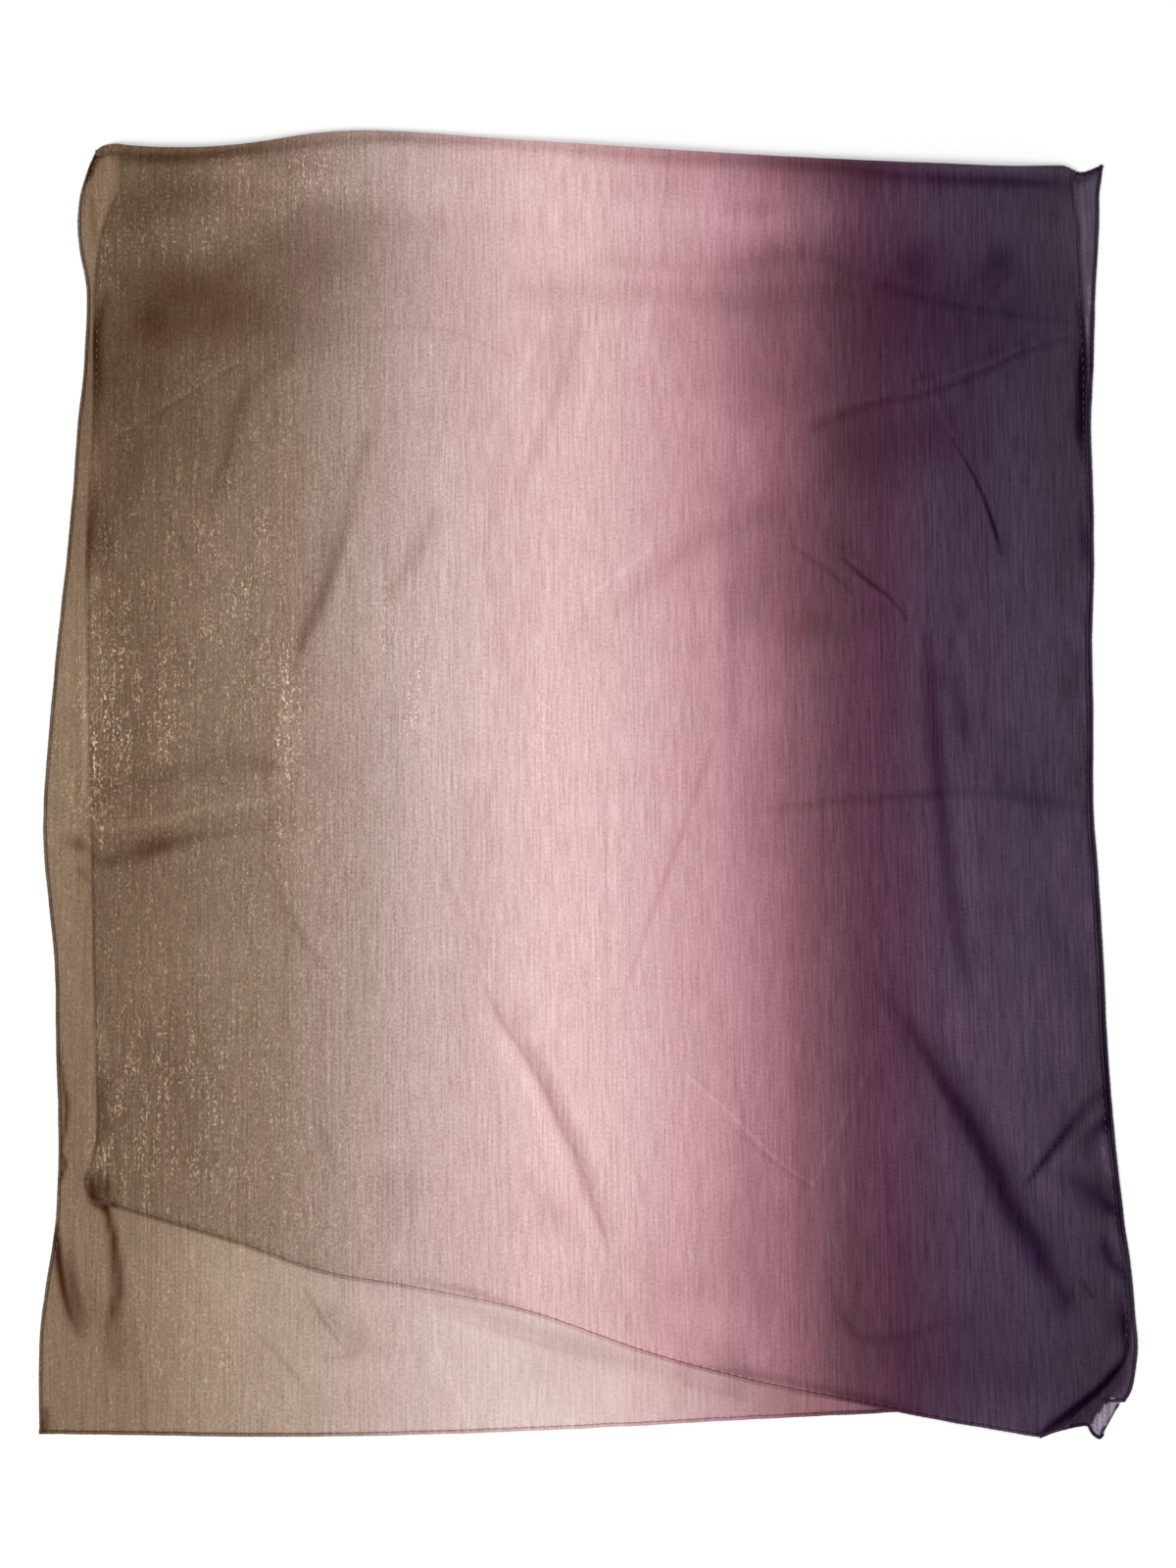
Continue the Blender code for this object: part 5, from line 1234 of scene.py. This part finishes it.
def give(obj, material):
    obj.data.materials.clear()
    obj.data.materials.append(material)
    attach(obj, "root")


def area_of(points, faces):
    a, b, c = (points[faces[:, k]] for k in range(3))
    return np.linalg.norm(np.cross(b - a, c - a), axis=1).sum() / 2 * 1e-6


# --------------------------------------------------------------- the cloth
def main():
    cloth = cloth_material("cloth")
    under_cloth = cloth_material("cloth_single", dye=DYE_SINGLE, streak=0.75, fleck=0.5)
    wrong_side = cloth_material("cloth_wrong_side", gain=3.7, silver=0.42, streak=1.3, fleck=0.2)
    hem_look = cloth_material("hem", gain=0.9, streak=1.2, fleck=0.6, bump=1.6, rough=0.7)
    thread_look = cloth_material("thread", gain=1.6, silver=0.35, streak=0.6, fleck=0.0, rough=0.5)

    loop, start, left, right, end = upper_loop()

    def upper_extra(x, s):
        q = s - seam_y(x)
        return np.where(q > -3, 2, np.where(q > -9, 1, 0))

    x, s = scattered(loop, BASE, levels_for(UPPER_STROKES, UPPER_PRESSED, UPPER_FOLDS, upper_extra))
    plan, faces = triangulated(loop, x, s)
    points = place_upper(plan[:, 0].copy(), plan[:, 1].copy())
    flat_y = np.minimum(plan[:, 1], 470)
    layers = {
        "across": across_of(points[:, 0], points[:, 1]),
        "painted_light_shade": painted_light_shade_of(UPPER_STROKES, UPPER_PAINTED_POOLS, points[:, 0], points[:, 1]),
        "painted_glints": painted_glints_of(plan[:, 0], flat_y),
    }
    upper = shell("upper_cloth", plan, faces, points, layers, uv_of(plan[:, 0], flat_y))
    print("upper_cloth", len(upper.data.polygons), "faces", round(area_of(points, faces), 4), "m2")
    give(upper, cloth)
    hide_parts("upper_layer", "fold_bend")

    loop, low_left, low_right = lower_loop()

    def lower_extra(x, y):
        near_edge = (x < -325) | (x > 325)
        shows = y < np.interp(x, UPPER_END_LINE[:, 0], UPPER_END_LINE[:, 1]) + 8
        return np.where(near_edge, 2, np.where(shows, 1, 0))

    x, y = scattered(loop, HIDDEN_BASE, levels_for(LOWER_STROKES, LOWER_PRESSED, LOWER_FOLDS, lower_extra, 9.0, 6.2))
    plan, faces = triangulated(loop, x, y)
    points = place_lower(plan[:, 0].copy(), plan[:, 1].copy())
    layers = {
        "across": across_of(points[:, 0], points[:, 1]),
        "painted_light_shade": painted_light_shade_of(LOWER_STROKES, LOWER_PAINTED_POOLS, points[:, 0], points[:, 1]),
        "painted_glints": painted_glints_of(points[:, 0], points[:, 1]),
    }
    lower = shell("lower_cloth", plan, faces, points, layers, uv_of(plan[:, 0], plan[:, 1] + 3.0))
    print("lower_cloth", len(lower.data.polygons), "faces", round(area_of(points, faces), 4), "m2")
    give(lower, under_cloth)
    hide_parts("lower_layer")

    # Hems, each a bead that the cloth's edge runs into.
    upper_left_plan = np.vstack([start, left])
    upper_right_plan = np.vstack([right, end])
    front_plan = moved_in(smooth_line(UPPER_END, 2.6), 1.3)
    lower_front_plan = moved_in(smooth_line(LOWER_END, 2.6), 1.3)
    tip_plan = moved_in(smooth_line(LOWER_TIP, 2.0), 0.9)
    lower_right_plan = np.vstack([low_right, tip_plan[1:]])
    hems = {}
    above, below = (UPPER_STROKES, UPPER_PAINTED_POOLS), (LOWER_STROKES, LOWER_PAINTED_POOLS)
    # The last two numbers of each hem are its painted shade in the crease, on the cloth's side and on the far side.
    for name, line, place, wide, high, lift, looks, slot, node, seed, inner_shade, outer_shade in (
        ("hem_of_upper_left", upper_left_plan, place_upper, 1.0, 0.62, 0.1, above, "hem_taupe", "hem_upper_left", 1.0, 0.3, 0.35),
        ("hem_of_upper_right", upper_right_plan, place_upper, 1.2, 0.8, 0.15, above, "hem_plum", "hem_upper_right", 2.0, 0.5, 0.5),
        ("hem_of_upper_end", front_plan, place_upper, 1.3, 0.72, 0.05, above, "hem_end", "hem_upper_end", 3.0, 0.62, 0.12),
        ("hem_of_lower_left", low_left, place_lower, 1.1, 0.6, 0.42, below, "hem_taupe", "hem_lower_left", 4.0, 0.2, 0.65),
        ("hem_of_lower_right", lower_right_plan, place_lower, 1.25, 0.62, 0.42, below, "hem_plum", "hem_lower_right", 5.0, 0.6, 0.7),
        ("hem_of_lower_end", lower_front_plan, place_lower, 1.2, 0.6, 0.42, below, "hem_end", "hem_lower_end", 6.0, 0.3, 0.3),
    ):
        path = resampled(path_on(line, place), 1.5)
        hems[name] = (path, hem_object(name, path, wide, high, lift, *looks, seed, inner_shade, outer_shade, HEM_PAINTED_SHADE.get(name, ())))
        give(hems[name][1], hem_look)
        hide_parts(node)

    sewn = stitches(
        "hem_stitches",
        [
            (hems["hem_of_upper_left"][0], 1.5, 0.3, 6.0, 3.0, 1.0),
            (hems["hem_of_upper_right"][0][hems["hem_of_upper_right"][0][:, 1] > -375], 1.6, 0.35, 6.0, 3.4, 2.0),
            (hems["hem_of_upper_end"][0], 1.6, 0.3, 6.0, 3.0, 3.0),
            (hems["hem_of_lower_left"][0], 1.5, 0.3, 6.0, 3.0, 4.0),
            (hems["hem_of_lower_right"][0], 1.6, 0.3, 6.0, 3.4, 5.0),
            (hems["hem_of_lower_end"][0], 1.5, 0.3, 6.0, 3.0, 6.0),
        ],
    )
    give(sewn, thread_look)

    corner, corner_hem = turned_corner()
    corner.data.materials.append(wrong_side)
    give(corner, wrong_side)
    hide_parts("turned_corner")
    give(corner_hem, hem_look)


def turned_corner():
    """The corner of the upper layer that is turned under: a part painted dark as the shade under the curl, and a pale
    tip of the wrong side.
    """
    edge = [
        (303, -434.5), (312, -425), (326, -412), (340, -408.5), (350, -410), (355, -414), (351.5, -420), (347, -428),
        (341.5, -436), (337.5, -433), (334.5, -428), (327, -428), (318, -430.5),
    ]
    loop = smooth_line([*edge, edge[0]], 1.5)[:-1]
    if sum(a[0] * b[1] - b[0] * a[1] for a, b in zip(loop, np.roll(loop, -1, axis=0))) < 0:
        loop = loop[::-1]
    x, y = scattered(loop, 2.0, lambda a, b: np.zeros(len(a), np.int8))
    plan, faces = triangulated(loop, x, y)
    x, y = plan.T
    # The tip lies beyond the line from (347, -413) to (335.5, -427); a dark line edges it.
    beyond = ((x - 347) * 14 + (y + 413) * -11.5) / math.hypot(14, 11.5)
    tip = np.clip(beyond / 1.2 + 0.5, 0, 1)
    rim = ((x - 354.7) * 21.2 + (y + 413.5) * -14.1) / math.hypot(21.2, 14.1)
    z = 0.42 + 0.5 * np.exp(-((beyond / 3) ** 2)) + 0.25 * tip * np.sin(x * 0.9)
    points = np.column_stack([x, y, np.maximum(z, 0.4)])
    # Under the curl the turned corner is painted dark as its shade; the tip keeps its pale wrong side, with a dark line
    # at its edge.
    layers = {
        "across": np.full(len(x), 0.95),
        "painted_light_shade": np.where(tip > 0.5, np.where(rim > 0, 0.12, 1.0), 0.11),
        "painted_glints": np.zeros(len(x)),
    }
    flap = shell("corner_turned_under", plan, faces, points, layers, uv_of(x, y))
    line = smooth_line([(301, -436), (310, -432.5), (318, -430.5), (327, -428.6), (333.5, -428.2), (336.5, -433), (341, -436.6), (343.5, -434)], 1.5)
    path = np.column_stack([line, np.full(len(line), 0.75)])
    verts, faces, _ = bead("corner_hem", path, 1.1, 0.6, 0.0, seed=8.0)
    # The hem under the curl is painted dark as its shade.
    layers = {"across": across_of(verts[:, 0], verts[:, 1]), "painted_light_shade": np.full(len(verts), 0.35), "painted_glints": np.zeros(len(verts))}
    hem = mesh_object("corner_hem", verts, faces, layers, uv_of(verts[:, 0], verts[:, 1]))
    return flap, hem


def surroundings():
    """A plain pale floor, soft studio light, and the camera."""
    side = 4.0
    mesh = bpy.data.meshes.new("floor")
    mesh.from_pydata([(-side, -side, 0), (side, -side, 0), (side, side, 0), (-side, side, 0)], [], [(0, 1, 2, 3)])
    floor = bpy.data.objects.new("floor", mesh)
    bpy.context.scene.collection.objects.link(floor)
    n = Nodes("floor")
    place = n.add("ShaderNodeTexCoord").outputs["Object"]
    grain = n.add("ShaderNodeTexNoise", Vector=place, Scale=9.0, Detail=3.0)
    n.put(n.shader.inputs["Base Color"], n.mix(grain.outputs["Fac"], (0.90, 0.90, 0.90, 1), (0.93, 0.93, 0.93, 1)))
    n.shader.inputs["Roughness"].default_value = 0.9
    n.shader.inputs["Specular IOR Level"].default_value = 0.1
    mesh.materials.append(n.material)

    world = bpy.data.worlds.new("studio")
    world.use_nodes = True
    back = world.node_tree.nodes["Background"]
    back.inputs["Color"].default_value = (1, 1, 1, 1)
    back.inputs["Strength"].default_value = 0.62
    bpy.context.scene.world = world

    for name, place, size, power, colour in (
        ("key", (-2.3, -2.4, 3.0), 1.9, 118, (1.0, 0.985, 0.97)),
        ("fill", (1.8, 1.6, 3.6), 2.6, 40, (0.97, 0.98, 1.0)),
    ):
        lamp = bpy.data.lights.new(name, "AREA")
        lamp.shape, lamp.size, lamp.energy, lamp.color = "DISK", size, power, colour
        obj = bpy.data.objects.new(name, lamp)
        obj.location = place
        obj.rotation_euler = (-Vector(place)).to_track_quat("-Z", "Y").to_euler()
        bpy.context.scene.collection.objects.link(obj)

    lens = bpy.data.cameras.new("camera")
    lens.lens, lens.sensor_width, lens.sensor_fit = 54, 36, "HORIZONTAL"
    lens.clip_start, lens.clip_end = 0.05, 50
    camera = bpy.data.objects.new("camera", lens)
    tilt = math.radians(3)
    camera.location = (-MIDDLE_X * MM, -1.2 * math.sin(tilt) - MIDDLE_Y * MM, 1.2 * math.cos(tilt))
    camera.rotation_euler = (tilt, 0, 0)
    bpy.context.scene.collection.objects.link(camera)
    bpy.context.scene.camera = camera
    bpy.context.scene.view_settings.view_transform = "Standard"
    bpy.context.scene.view_settings.look = "None"


surroundings()
main()
bpy.context.view_layer.update()
